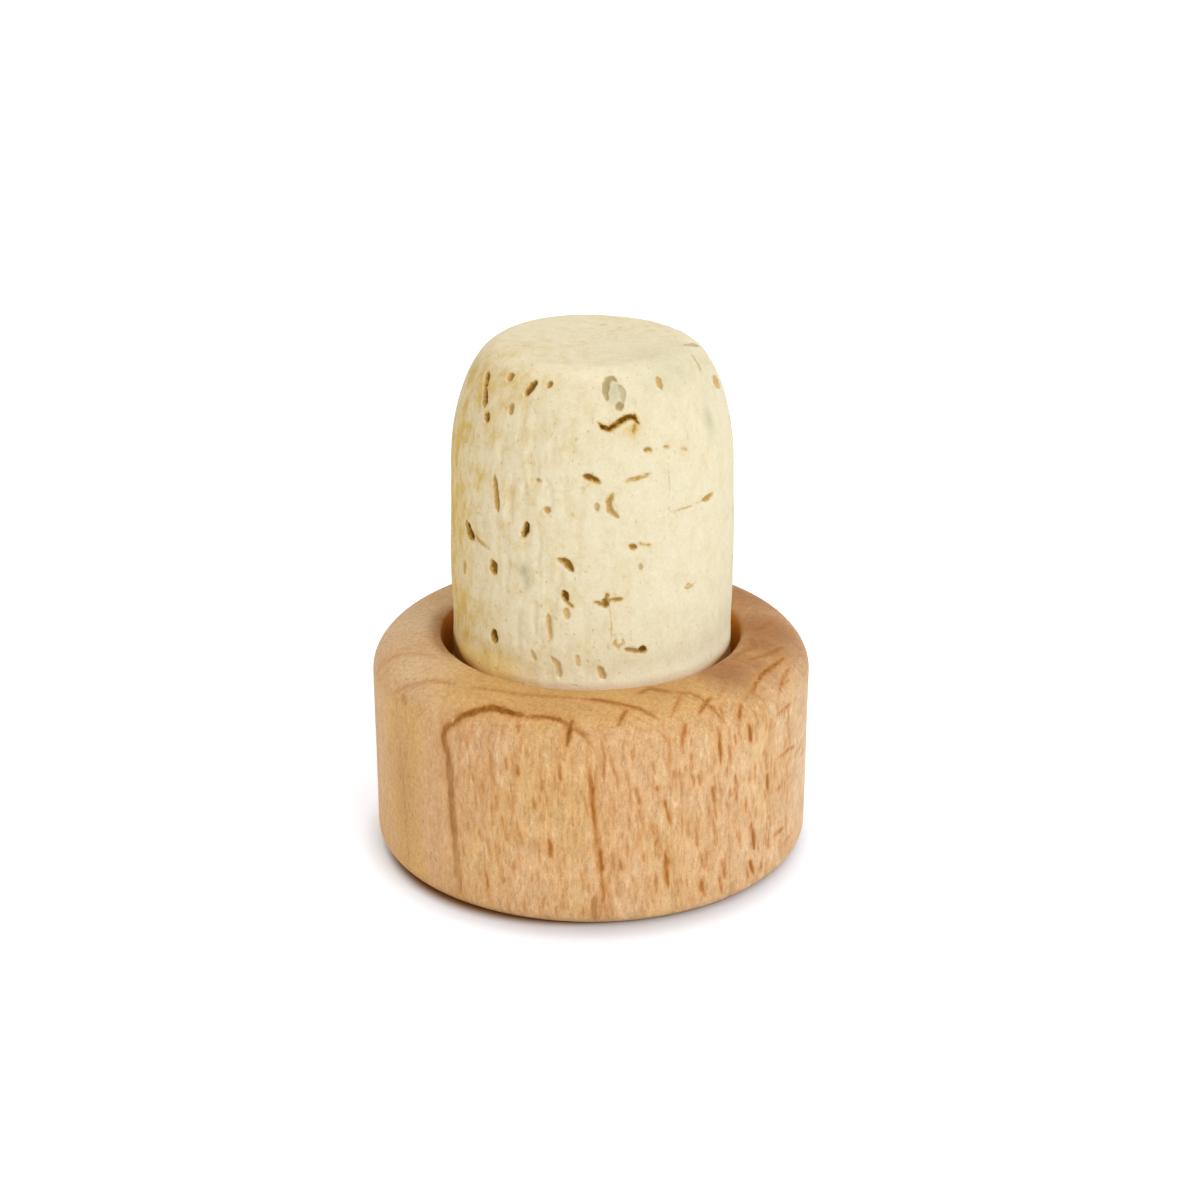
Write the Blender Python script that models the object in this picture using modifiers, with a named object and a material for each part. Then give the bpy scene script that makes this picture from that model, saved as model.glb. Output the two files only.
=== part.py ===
"""Wooden bottle stopper: a turned beech head with a natural cork shank glued into its recess.

It stands on the head's flat face, the way it is stored: +Z runs from the head up through the cork, and the
origin is the centre of that face. Metres. Every turned shape is a profile in the XZ plane, spun about Z.
"""

import math
import random
from typing import NamedTuple

import bmesh
import bpy
from mathutils import Matrix, Vector

# Turned head
HEAD_DIAMETER = 0.0300
HEAD_HEIGHT = 0.0150
SHOULDER_ROUND_WIDTH = 0.0040
SHOULDER_ROUND_HEIGHT = 0.0027
FOOT_ROUND = 0.0010

# Blind recess in the head, which holds the shank
RECESS_DEPTH = 0.0076
RECESS_CLEARANCE = 0.0005
MOUTH_ROUND = 0.00035

# Cork shank
CORK_DIAMETER = 0.0195
CORK_LENGTH = 0.0270
CORK_TAPER = 0.0008
CORK_FOOT_CHAMFER = 0.0004
END_ROUND_WIDTH = 0.0038
END_ROUND_HEIGHT = 0.0089

# Glue bed under the shank
GLUE_THICKNESS = 0.0004
GLUE_MARGIN = 0.0008
GLUE_EDGE_ROUND = 0.0001

# Pores in the cork: lens-shaped dents, half sunk in its surface
PORE_DEPTH = 0.00028
BACK_PORES = 26
BACK_PORE_LENGTH = 0.0011
BACK_PORE_WIDTH = 0.00036
BACK_PORE_SPACING = 0.0022

# Gap between pieces that bear on each other
SEAT_GAP = 0.0003

# Smallest flat ring kept between the shoulder's round and the recess's mouth
LEAST_LAND = 0.0004

# Facets
TURNED_STEPS = 88
SHOULDER_STEPS = 8
FOOT_STEPS = 4
MOUTH_STEPS = 3
END_STEPS = 10
PORE_SEGMENTS = 8
PORE_RINGS = 6
MERGE = 0.00001

# Places that follow from the sizes above
HEAD_RADIUS = HEAD_DIAMETER / 2
CORK_RADIUS = CORK_DIAMETER / 2
RECESS_RADIUS = CORK_RADIUS + RECESS_CLEARANCE
RECESS_FLOOR = HEAD_HEIGHT - RECESS_DEPTH
GLUE_FOOT = RECESS_FLOOR + SEAT_GAP
CORK_FOOT = GLUE_FOOT + GLUE_THICKNESS + SEAT_GAP
CORK_TOP = CORK_FOOT + CORK_LENGTH
CORK_SUNK = HEAD_HEIGHT - CORK_FOOT
CORK_SHOWING = CORK_TOP - HEAD_HEIGHT
END_RADIUS = CORK_RADIUS - CORK_TAPER / 2
ROUND_START = CORK_LENGTH - END_ROUND_HEIGHT

# The bark's pore channels run through the shank along this bearing, measured from the front (-Y) towards +X
CHANNEL_BEARING = math.radians(-40)


class Pore(NamedTuple):
    """A pore in the shank: its bearing from the front, its share of the way up, its size and its lean."""

    bearing: float
    rise: float
    length: float
    width: float
    lean: float


# The pores on the side that the photograph shows. Bearing and lean in degrees, length and width in metres.
# Lean is measured from upright, and positive where the lower end points to the right.
FRONT_PORES = (
    Pore(-62, 0.30, 0.00100, 0.00034, 0),
    Pore(-59, 0.90, 0.00210, 0.00034, 10),
    Pore(-58, 0.44, 0.00095, 0.00050, 35),
    Pore(-51, 0.82, 0.00060, 0.00034, 0),
    Pore(-45, 0.95, 0.00050, 0.00045, 0),
    Pore(-42, 0.35, 0.00090, 0.00042, 10),
    Pore(-41, 0.60, 0.00240, 0.00034, 3),
    Pore(-41, 0.11, 0.00085, 0.00048, 0),
    Pore(-38, 0.87, 0.00080, 0.00034, 0),
    Pore(-30, 0.93, 0.00110, 0.00040, -38),
    Pore(-27, 0.50, 0.00110, 0.00042, -20),
    Pore(-21, 0.67, 0.00050, 0.00030, 74),
    Pore(-17, 0.57, 0.00045, 0.00040, 0),
    Pore(-17, 0.19, 0.00170, 0.00034, 6),
    Pore(-14, 0.06, 0.00140, 0.00042, 25),
    Pore(-10, 0.40, 0.00135, 0.00042, 50),
    Pore(-10, 0.30, 0.00070, 0.00048, 5),
    Pore(-9, 0.23, 0.00080, 0.00048, 0),
    Pore(0, 0.68, 0.00135, 0.00034, 70),
    Pore(2, 0.59, 0.00055, 0.00030, 0),
    Pore(4, 0.04, 0.00090, 0.00048, 21),
    Pore(6, 0.28, 0.00180, 0.00032, 92),
    Pore(6, 0.84, 0.00120, 0.00034, 75),
    Pore(9, 0.59, 0.00170, 0.00032, 15),
    Pore(12, 0.94, 0.00180, 0.00110, 0),
    Pore(16, 0.46, 0.00060, 0.00034, 77),
    Pore(17, 0.86, 0.00150, 0.00036, 100),
    Pore(17, 0.11, 0.00145, 0.00034, 80),
    Pore(19, 0.67, 0.00160, 0.00030, 95),
    Pore(24, 0.76, 0.00070, 0.00030, 72),
    Pore(35, 0.94, 0.00080, 0.00034, 0),
    Pore(53, 0.56, 0.00100, 0.00034, 85),
    Pore(82, 0.87, 0.00080, 0.00050, -20),
)


def arc(centre, width, height, start, end, steps):
    """Points on an elliptical quarter, by angle in degrees from +X, both ends included."""
    angles = (math.radians(start + (end - start) * i / steps) for i in range(steps + 1))
    return [(centre[0] + width * math.cos(a), centre[1] + height * math.sin(a)) for a in angles]


def head_profile():
    """From the recess's floor on the axis, up its wall, over the shoulder and down to the foot on the axis."""
    wall = HEAD_RADIUS - RECESS_RADIUS
    mouth = min(MOUTH_ROUND, wall - LEAST_LAND)
    shoulder = min(SHOULDER_ROUND_WIDTH, wall - mouth - LEAST_LAND)
    return [
        (0, RECESS_FLOOR),
        (RECESS_RADIUS, RECESS_FLOOR),
        *arc((RECESS_RADIUS + mouth, HEAD_HEIGHT - mouth), mouth, mouth, 180, 90, MOUTH_STEPS),
        *arc(
            (HEAD_RADIUS - shoulder, HEAD_HEIGHT - SHOULDER_ROUND_HEIGHT),
            shoulder,
            SHOULDER_ROUND_HEIGHT,
            90,
            0,
            SHOULDER_STEPS,
        ),
        *arc((HEAD_RADIUS - FOOT_ROUND, FOOT_ROUND), FOOT_ROUND, FOOT_ROUND, 0, -90, FOOT_STEPS),
        (0, 0),
    ]


def cork_profile():
    """From the middle of the shank's end, over its rounded edge and down the taper to its foot."""
    return [
        (0, CORK_LENGTH),
        *arc((END_RADIUS - END_ROUND_WIDTH, ROUND_START), END_ROUND_WIDTH, END_ROUND_HEIGHT, 90, 0, END_STEPS),
        (CORK_RADIUS, CORK_SUNK),
        (CORK_RADIUS, CORK_FOOT_CHAMFER),
        (CORK_RADIUS - CORK_FOOT_CHAMFER, 0),
        (0, 0),
    ]


def glue_profile():
    """A thin round bed with an eased edge, a little smaller than the shank's foot."""
    radius = CORK_RADIUS - GLUE_MARGIN
    return [
        (0, GLUE_THICKNESS),
        (radius - GLUE_EDGE_ROUND, GLUE_THICKNESS),
        (radius, GLUE_THICKNESS - GLUE_EDGE_ROUND),
        (radius, GLUE_EDGE_ROUND),
        (radius - GLUE_EDGE_ROUND, 0),
        (0, 0),
    ]


def cork_surface(height):
    """(radius, slope) of the shank at a height above its foot. The slope is how fast the radius shrinks."""
    if height <= CORK_SUNK:
        return CORK_RADIUS, 0.0
    if height <= ROUND_START:
        slope = (CORK_RADIUS - END_RADIUS) / (ROUND_START - CORK_SUNK)
        return CORK_RADIUS - slope * (height - CORK_SUNK), slope
    up = (height - ROUND_START) / END_ROUND_HEIGHT
    across = math.sqrt(1 - up * up)
    radius = END_RADIUS - END_ROUND_WIDTH * (1 - across)
    return radius, END_ROUND_WIDTH / END_ROUND_HEIGHT * up / across


def pore_place(pore):
    """The matrix that puts a pore's lens on the shank: X across it, Y along it and Z out of the surface."""
    height = CORK_SUNK + pore.rise * CORK_SHOWING
    radius, slope = cork_surface(height)
    bearing = math.radians(pore.bearing)
    outward = Vector((math.sin(bearing), -math.cos(bearing), 0))
    normal = (outward + Vector((0, 0, slope))).normalized()
    rightward = Vector((math.cos(bearing), math.sin(bearing), 0))
    upward = normal.cross(rightward)
    lean = math.radians(pore.lean)
    along = upward * math.cos(lean) - rightward * math.sin(lean)
    across = along.cross(normal)
    turn = Matrix((across, along, normal)).transposed().to_4x4()
    return Matrix.Translation(outward * radius + Vector((0, 0, height))) @ turn


def back_pores():
    """Pores for the side that the photograph doesn't show, spread out and in the same two kinds.

    Where the bark's channels leave the shank end on, they show as short upright pits. Where they run across
    it, they show as level slits.
    """
    chance = random.Random(19)
    placed = []
    spots = []
    while len(placed) < BACK_PORES:
        bearing = chance.uniform(102, 282)
        rise = chance.uniform(0.05, 0.9)
        size = chance.uniform(0.6, 1.6)
        wander = chance.uniform(-18, 18)
        spot = Vector((math.radians(bearing) * CORK_RADIUS, rise * CORK_SHOWING))
        if any((spot - other).length < BACK_PORE_SPACING for other in spots):
            continue
        end_on = abs(math.cos(math.radians(bearing) - CHANNEL_BEARING)) > 0.7
        lean = wander if end_on else 85 + wander
        spots.append(spot)
        placed.append(Pore(bearing, rise, BACK_PORE_LENGTH * size, BACK_PORE_WIDTH, lean))
    return placed


def pore_cutter(pores, collection):
    """One mesh with a lens for each pore, hidden, in the shank's own frame."""
    mesh = bpy.data.meshes.new("pore_lenses")
    shape = bmesh.new()
    for pore in pores:
        size = Matrix.Diagonal((pore.width / 2, pore.length / 2, PORE_DEPTH, 1))
        bmesh.ops.create_uvsphere(
            shape,
            u_segments=PORE_SEGMENTS,
            v_segments=PORE_RINGS,
            radius=1.0,
            matrix=pore_place(pore) @ size,
        )
    shape.to_mesh(mesh)
    shape.free()
    cutter = bpy.data.objects.new("pore_lenses", mesh)
    cutter.hide_render = True
    cutter.display_type = "WIRE"
    cutter.location.z = CORK_FOOT
    collection.objects.link(cutter)
    return cutter


def plain_material(name, colour, roughness):
    """A Principled material of one colour, which is given as linear red, green and blue."""
    material = bpy.data.materials.new(name)
    material.use_nodes = True
    shader = material.node_tree.nodes["Principled BSDF"]
    shader.inputs["Base Color"].default_value = (*colour, 1)
    shader.inputs["Roughness"].default_value = roughness
    shader.inputs["Metallic"].default_value = 0
    return material


def turned(name, profile, foot, material, collection):
    """An object spun about Z from a profile of (radius, height) points, with its foot at the given height."""
    mesh = bpy.data.meshes.new(name)
    outline = bmesh.new()
    points = [outline.verts.new((radius, 0, height)) for radius, height in profile]
    for start, end in zip(points, points[1:]):
        outline.edges.new((start, end))
    outline.to_mesh(mesh)
    outline.free()
    mesh.materials.append(material)
    piece = bpy.data.objects.new(name, mesh)
    piece.location.z = foot
    spin = piece.modifiers.new("spin", "SCREW")
    spin.angle = math.tau
    spin.steps = TURNED_STEPS
    spin.render_steps = TURNED_STEPS
    spin.use_merge_vertices = True
    spin.merge_threshold = MERGE
    spin.use_smooth_shade = True
    collection.objects.link(piece)
    return piece


def new_collection(name):
    collection = bpy.data.collections.new(name)
    bpy.context.scene.collection.children.link(collection)
    return collection


def clear_scene():
    for thing in list(bpy.data.objects):
        bpy.data.objects.remove(thing)


def build():
    clear_scene()
    stopper = new_collection("bottle_stopper")
    cutters = new_collection("cutters")
    beech = plain_material("beech", (0.69, 0.40, 0.18), 0.55)
    cork = plain_material("natural_cork", (0.80, 0.68, 0.46), 0.85)
    glue = plain_material("dried_glue", (0.72, 0.62, 0.40), 0.40)
    turned("wooden_head", head_profile(), 0, beech, stopper)
    turned("glue_bed", glue_profile(), GLUE_FOOT, glue, stopper)
    shank = turned("cork_shank", cork_profile(), CORK_FOOT, cork, stopper)
    cut = shank.modifiers.new("pores", "BOOLEAN")
    cut.operation = "DIFFERENCE"
    cut.object = pore_cutter([*FRONT_PORES, *back_pores()], cutters)


build()
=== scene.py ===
"""Looks for the wooden bottle stopper: a turned beech head and a natural cork shank, on a white floor.

The file is laid out as a Blender add-on and is run as a script. Each operator makes one piece around the
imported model, in metres and in its frame: +Z runs from the head up through the cork. Marks and patches are
placed in degrees and millimetres: by their bearing round that axis, from the front (-Y) towards +X, and by
their height.
"""

import math
import random
from itertools import product
from typing import NamedTuple

import bmesh
import bpy
import numpy as np
from bpy.props import FloatProperty, FloatVectorProperty, PointerProperty
from mathutils import Euler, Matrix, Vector


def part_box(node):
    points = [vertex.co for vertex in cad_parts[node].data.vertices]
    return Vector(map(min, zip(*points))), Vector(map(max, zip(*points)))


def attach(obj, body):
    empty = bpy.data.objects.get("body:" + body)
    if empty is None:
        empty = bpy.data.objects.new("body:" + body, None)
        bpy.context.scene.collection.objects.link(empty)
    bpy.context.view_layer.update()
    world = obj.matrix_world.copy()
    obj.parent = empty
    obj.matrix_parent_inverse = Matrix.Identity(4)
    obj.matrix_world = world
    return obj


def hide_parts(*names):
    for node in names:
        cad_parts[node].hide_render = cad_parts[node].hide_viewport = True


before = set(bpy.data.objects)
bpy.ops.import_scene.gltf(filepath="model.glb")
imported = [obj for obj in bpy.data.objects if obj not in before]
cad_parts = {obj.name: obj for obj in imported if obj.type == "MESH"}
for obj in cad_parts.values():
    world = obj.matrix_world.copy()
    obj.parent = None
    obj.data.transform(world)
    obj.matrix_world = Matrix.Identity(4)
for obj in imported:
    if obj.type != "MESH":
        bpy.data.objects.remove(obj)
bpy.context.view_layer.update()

bl_info = {
    "name": "Bottle Stopper",
    "version": (1, 0, 0),
    "blender": (4, 5, 0),
    "location": "View3D > Sidebar > Stopper",
    "description": "Makes a beech and cork bottle stopper with its studio stage",
    "category": "Add Mesh",
}

MM = 0.001
HEAD_LOW, HEAD_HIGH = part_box("wooden_head")
CORK_LOW, CORK_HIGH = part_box("cork_shank")
GLUE_LOW, GLUE_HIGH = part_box("glue_bed")
RIM = HEAD_HIGH.z / MM
FREE_END = CORK_HIGH.z / MM


def length(name, description, default):
    """A length that a user can change."""
    return FloatProperty(
        name=name, description=description, default=default, min=0, unit="LENGTH", precision=4
    )


def strength(name, description, default):
    """The strength of a light or a glow, which a user can change."""
    return FloatProperty(name=name, description=description, default=default, min=0)


def colour(name, description, default):
    """A linear colour that a user can change."""
    return FloatVectorProperty(
        name=name, description=description, default=default, size=3, min=0, max=1, subtype="COLOR"
    )


class HeadSettings(bpy.types.PropertyGroup):
    diameter: length("Diameter", "Width of the turned head", HEAD_HIGH.x - HEAD_LOW.x)
    height: length("Height", "Height of the turned head", HEAD_HIGH.z)
    recess_diameter: length("Recess", "Width of the recess that holds the cork", 0.0205)
    recess_floor: length("Recess floor", "Height of the recess's floor", GLUE_LOW.z - 0.3 * MM)
    mouth_round: length("Mouth round", "Rounding of the recess's mouth", 0.35 * MM)
    shoulder_width: length("Shoulder width", "How far the rounded shoulder reaches inwards", 4.0 * MM)
    shoulder_height: length("Shoulder height", "How far the rounded shoulder reaches down", 2.7 * MM)
    foot_round: length("Foot round", "Rounding of the lower edge", 1.0 * MM)
    light: colour("Light wood", "Beech between its growth rings", (0.68, 0.430, 0.183))
    dark: colour("Dark wood", "Beech in its darker bands", (0.59, 0.315, 0.116))
    rosy: colour("Rosy wood", "The pinker patches of the beech", (0.69, 0.430, 0.218))
    honey: colour("Honey wood", "The yellower wood on top and in a band at the left", (0.76, 0.47, 0.13))
    # Also laid on the right side and low in front as painted light
    pale: colour("Pale wood", "The sanded end grain round the recess", (0.77, 0.580, 0.37))
    # Also laid round the recess's mouth at its sides as painted shade
    stain: colour("Stained wood", "The brown patches of the end grain", (0.40, 0.19, 0.075))
    recess: colour("Recess", "The bored wood inside the recess", (0.90, 0.34, 0.03))
    line: colour("Ring line", "The thin dark line where a year ends", (0.25, 0.082, 0.0))
    fleck: colour("Fleck", "The medullary rays, seen end on", (0.37, 0.125, 0.010))
    warm: colour("Warm wood", "The orange wood round a fleck or a ring line", (0.64, 0.27, 0.065))
    chip: colour("Chip", "The bare wood in the chip at the foot", (0.85, 0.72, 0.55))


class CorkSettings(bpy.types.PropertyGroup):
    diameter: length("Diameter", "Width of the shank where it enters the head", CORK_HIGH.x - CORK_LOW.x)
    taper: length("Taper", "How much narrower the shank is at its end", 0.8 * MM)
    foot: length("Foot", "Height of the shank's foot", CORK_LOW.z)
    top: length("Top", "Height of the shank's free end", CORK_HIGH.z)
    foot_chamfer: length("Foot chamfer", "Chamfer round the foot", 0.4 * MM)
    round_width: length("Round width", "How far the rounded end reaches inwards", 3.8 * MM)
    round_height: length("Round height", "How far the rounded end reaches down", 8.9 * MM)
    pale: colour("Pale cork", "Most of the cork", (0.765, 0.69, 0.482))
    # Painted light: a paler cream laid over the cork just above the head in front, where it lifts the shade,
    # on the free end, and on the rims of pores on the side facing the light
    clean: colour("Clean cork", "The paler cork just above the head and on the free end", (1.0, 0.95, 0.735))
    # Partly the cork's own yellow-tan, partly painted light that lifts and warms the shade at the left of
    # its foot
    warm: colour("Warm cork", "The orange cork at the left, just above the head", (1.0, 0.81, 0.35))
    tan: colour("Tan cork", "The cork's darker mottles", (0.67, 0.485, 0.155))
    pore_tan: colour("Shallow pore", "The lining of a shallow pore", (0.62, 0.37, 0.07))
    pore_dark: colour("Deep pore", "The bottom of a deep pore", (0.17, 0.072, 0.0))
    bloom: colour("Grey bloom", "The greyish patches", (0.37, 0.36, 0.215))
    bloom_dark: colour("Deep bloom", "The bottom of a greyish pore", (0.08, 0.08, 0.05))


class GlueSettings(bpy.types.PropertyGroup):
    tone: colour("Glue", "The dried glue", (0.66, 0.52, 0.30))
    cloud: colour("Cloudy glue", "The paler clouds in it", (0.80, 0.70, 0.48))


class StageSettings(bpy.types.PropertyGroup):
    floor_size: length("Floor", "Width of the floor", 2.4)
    rim: length("Rim", "Height of the floor's rim, which hides the horizon", 0.1)
    floor_tone: colour("Floor tone", "The floor's own colour", (0.70, 0.72, 0.78))
    # Painted shadow on the floor under the stopper's left front
    shade_tone: colour("Shade tone", "The floor right under the stopper's left edge", (0.32, 0.165, 0.055))
    floor_glow: strength("Floor glow", "Lifts the floor to plain white", 0.55)
    glow_start: length("Glow start", "How far from its middle the floor starts to glow", 12.8 * MM)
    glow_full: length("Glow full", "How far from its middle the floor glows fully", 16.8 * MM)
    glow_middle: FloatVectorProperty(
        name="Glow middle",
        description="Middle of the dull patch",
        default=(0.1 * MM, -1.5 * MM),
        size=2,
        unit="LENGTH",
    )
    sky_left: colour("Sky at the left", "The warmer light from the left", (0.80, 0.62, 0.42))
    sky: strength("Sky", "Strength of the light from all round", 0.445)
    top: strength("Top light", "Power of the large light overhead", 1.07)
    key: strength("Key", "Power of the large light at the right", 1.25)
    fill: strength("Fill", "Power of the warm light at the left", 0.2)


# Meshes


def straight(start, end, spacing):
    """Points along a line of a profile, without its last one."""
    start, end = Vector(start), Vector(end)
    steps = max(1, math.ceil((end - start).length / spacing))
    return [start.lerp(end, i / steps) for i in range(steps)]


def arc(centre, width, height, start, end, spacing):
    """Points along a quarter of an ellipse, without its last one, at about even spacing."""
    steps = max(3, math.ceil((width + height) / 2 * math.radians(abs(end - start)) / spacing))
    angles = [math.radians(start + (end - start) * i / steps) for i in range(steps)]
    return [Vector((centre[0] + width * math.cos(a), centre[1] + height * math.sin(a))) for a in angles]


# A turned piece is spun in this many wedges, whose seams are merged within this distance
WEDGES = 20
SEAM = 0.002 * MM


def turn(name, profile, columns, bunching):
    """A closed mesh spun from a profile of (radius, height), with its columns closer together at the front.

    One wedge is spun column by column, and then copied round.
    """
    shape = bmesh.new()
    points = [shape.verts.new((0, -radius, height)) for radius, height in profile]
    edges = [shape.edges.new(pair) for pair in zip(points, points[1:])]
    around = {"cent": (0, 0, 0), "axis": (0, 0, 1), "use_merge": False}
    wedge = math.tau / WEDGES
    bmesh.ops.spin(
        shape, geom=points + edges, angle=wedge, steps=columns // WEDGES, use_duplicate=False, **around
    )
    whole = shape.verts[:] + shape.edges[:] + shape.faces[:]
    bmesh.ops.spin(shape, geom=whole, angle=math.tau - wedge, steps=WEDGES - 1, use_duplicate=True, **around)
    bmesh.ops.remove_doubles(shape, verts=shape.verts, dist=SEAM)
    for vertex in shape.verts:
        radius = math.hypot(vertex.co.x, vertex.co.y)
        bearing = math.atan2(vertex.co.x, -vertex.co.y)
        bearing -= bunching * math.sin(bearing)
        vertex.co.x = radius * math.sin(bearing)
        vertex.co.y = -radius * math.cos(bearing)
    bmesh.ops.recalc_face_normals(shape, faces=shape.faces)
    mesh = bpy.data.meshes.new(name)
    shape.to_mesh(mesh)
    shape.free()
    mesh.shade_smooth()
    return mesh


def read_points(mesh):
    """The mesh's points in millimetres and their normals, as arrays."""
    points = np.empty(len(mesh.vertices) * 3, np.float32)
    normals = np.empty(len(mesh.vertices) * 3, np.float32)
    mesh.vertices.foreach_get("co", points)
    mesh.vertex_normals.foreach_get("vector", normals)
    return points.reshape(-1, 3).astype(float) / MM, normals.reshape(-1, 3).astype(float)


def sink(mesh, points, normals, depth):
    """Moves each point inwards by its depth, in millimetres."""
    moved = (points - normals * depth[:, None]) * MM
    mesh.vertices.foreach_set("co", moved.astype(np.float32).ravel())
    mesh.update()


def paint(mesh, coats):
    """Stores numbers for each point by name, for a material to read."""
    for name, values in coats.items():
        layer = mesh.attributes.new(name, "FLOAT", "POINT")
        layer.data.foreach_set("value", values.astype(np.float32))


def finish_piece(mesh, material, node):
    """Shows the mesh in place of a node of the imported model."""
    mesh.materials.append(material)
    piece = bpy.data.objects.new(mesh.name, mesh)
    bpy.context.scene.collection.objects.link(piece)
    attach(piece, "root")
    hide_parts(node)
    return piece


# The slopes that the smooth noise picks from, and its picks' steps from cell to cell along X, Y and Z
SLOPES = np.random.default_rng(12).normal(size=(1024, 3))
SLOPE_STEPS = (7349, 1931, 5417)


def ripple(points, size, seed=0.0):
    """Smooth noise between about -1 and 1, with waves of the given (x, y, z) size in millimetres."""
    scaled = points / np.array(size) + seed
    cell = np.floor(scaled).astype(int)
    inside = scaled - cell
    fade = inside * inside * (3 - 2 * inside)
    total = np.zeros(len(points))
    for corner in product((0, 1), repeat=3):
        key = (cell + corner) @ SLOPE_STEPS % len(SLOPES)
        weight = np.prod(np.where(corner, fade, 1 - fade), axis=1)
        total += weight * np.einsum("ij,ij->i", SLOPES[key], inside - corner)
    return total


def smooth_step(values, low, high):
    """0 below low, 1 above high and a smooth rise between them; low may be the larger."""
    share = np.clip((values - low) / (high - low), 0, 1)
    return share * share * (3 - 2 * share)


def bearing_of(points):
    """Bearing of each point, in degrees."""
    return np.degrees(np.arctan2(points[:, 0], -points[:, 1]))


def facing(bearing):
    """The level direction that a bearing points in."""
    angle = math.radians(bearing)
    return np.array((math.sin(angle), -math.cos(angle), 0.0))


def trace(surface, settings, path):
    """A path's (bearing, height) places on a piece's surface, as an array in millimetres."""
    return np.array([surface(settings, *place) for place in path])


# Marks on the surfaces


class Mark(NamedTuple):
    """A pore, a crack or a dent: the places it runs through, its size in millimetres and its look.

    Tone runs from 0, the pale lining of a shallow mark, to 1, the dark lining of a deep one. Grey replaces
    brown.
    """

    path: tuple
    width: float
    depth: float
    tone: float
    grey: float = 0


# How blunt the ends of a stroke are, and how far past its edge it still matters, in millimetres
BLUNTNESS = 2.6
MARGIN = 0.8

# How far a soft patch reaches at least into and out of the surface, in millimetres
PATCH_DEPTH = 3.0


def near_path(points, path, width):
    """Indices of the points that a stroke along a path can reach."""
    middle = path.mean(0)
    reach = np.linalg.norm(path - middle, axis=1).max() + width + MARGIN
    return np.flatnonzero(np.linalg.norm(points - middle, axis=1) < reach)


def taper_distance(points, path, width):
    """Distance in millimetres from each point to the edge of a stroke that narrows towards both ends."""
    legs = np.diff(path, axis=0)
    lengths = np.linalg.norm(legs, axis=1)
    nearest = np.full(len(points), np.inf)
    run = 0.0
    for start, leg, size in zip(path, legs, lengths):
        along = np.clip((points - start) @ leg / size**2, 0, 1)
        gap = np.linalg.norm(points - start - along[:, None] * leg, axis=1)
        share = (run + along * size) / lengths.sum()
        half = width / 2 * np.sqrt(np.clip(1 - np.abs(2 * share - 1) ** BLUNTNESS, 0, 1))
        nearest = np.minimum(nearest, gap - half)
        run += size
    return nearest


def soft_patches(surface, settings, points, patches):
    """How strongly soft-edged patches colour each point, where 1 is fully.

    A patch is its bearing and height, its half width and half height in millimetres, its lean and its
    strength.
    """
    cover = np.zeros(len(points))
    for bearing, height, half_width, half_height, lean, strength in patches:
        offset = points - surface(settings, bearing, height)
        slant = math.radians(lean)
        across = offset @ facing(bearing + 90)
        along = offset[:, 2] * math.cos(slant) - across * math.sin(slant)
        aside = across * math.cos(slant) + offset[:, 2] * math.sin(slant)
        level = (along / half_height) ** 2 + (aside / half_width) ** 2
        level += (offset @ facing(bearing)) ** 2 / max(PATCH_DEPTH, half_width) ** 2
        cover = np.maximum(cover, strength * np.exp(-level))
    return cover


# Cork

CORK_COLUMNS = 460
CORK_SPACING = 0.13 * MM
CORK_BUNCHING = 0.22

# Bearing that the bark's channels run along: the marks are upright there, and level across it
CHANNEL_BEARING = -40

# The shank's radius halfway up, in millimetres
HALFWAY_RADIUS = 9.4

# The pores behind, in millimetres
BACK_PORES = 26
BACK_PORE_LENGTH = 1.1
BACK_PORE_WIDTH = 0.36
BACK_PORE_SPACING = 2.2
SMALL_BACK_PORES = 34
SMALL_PORE_DEPTH = 0.06


def cork_profile(cork):
    """From the middle of the free end, over its rounded edge and down to the foot."""
    end_radius = (cork.diameter - cork.taper) / 2
    radius = cork.diameter / 2
    round_start = cork.top - cork.round_height
    shown = HEAD_HIGH.z - MM
    return [
        *straight((0, cork.top), (end_radius - cork.round_width, cork.top), 1.5 * CORK_SPACING),
        *arc(
            (end_radius - cork.round_width, round_start),
            cork.round_width,
            cork.round_height,
            90,
            0,
            CORK_SPACING,
        ),
        *straight((end_radius, round_start), (radius, HEAD_HIGH.z), CORK_SPACING),
        *straight((radius, HEAD_HIGH.z), (radius, shown), CORK_SPACING),
        *straight((radius, shown), (radius, cork.foot + cork.foot_chamfer), MM),
        (radius, cork.foot + cork.foot_chamfer),
        (radius - cork.foot_chamfer, cork.foot),
        (0, cork.foot),
    ]


def cork_radius(cork, height):
    """Radius of the shank at a height, in millimetres."""
    end_radius = (cork.diameter - cork.taper) / 2 / MM
    round_start = (cork.top - cork.round_height) / MM
    if height > round_start:
        up = min(1.0, (height - round_start) * MM / cork.round_height)
        return end_radius - cork.round_width / MM * (1 - math.sqrt(1 - up * up))
    share = np.clip((height - RIM) / (round_start - RIM), 0, 1)
    return cork.diameter / 2 / MM * (1 - share) + end_radius * share


def on_cork(cork, bearing, height):
    """The place on the shank's surface at a bearing and a height, in millimetres."""
    return facing(bearing) * cork_radius(cork, height) + np.array((0, 0, height))


def oval(bearing, height, size, width, lean, depth, tone, grey=0.0):
    """A straight mark. Lean is its angle from upright, positive where its lower end is at the right."""
    slant = math.radians(lean)
    sideways = math.degrees(size / 2 * math.sin(slant) / HALFWAY_RADIUS)
    upwards = size / 2 * math.cos(slant)
    path = ((bearing - sideways, height + upwards), (bearing + sideways, height - upwards))
    return Mark(path, width, depth, tone, grey)


# How much wider a mark is than it looks, because it narrows towards its ends
MARK_SWELL = 1.2

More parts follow.
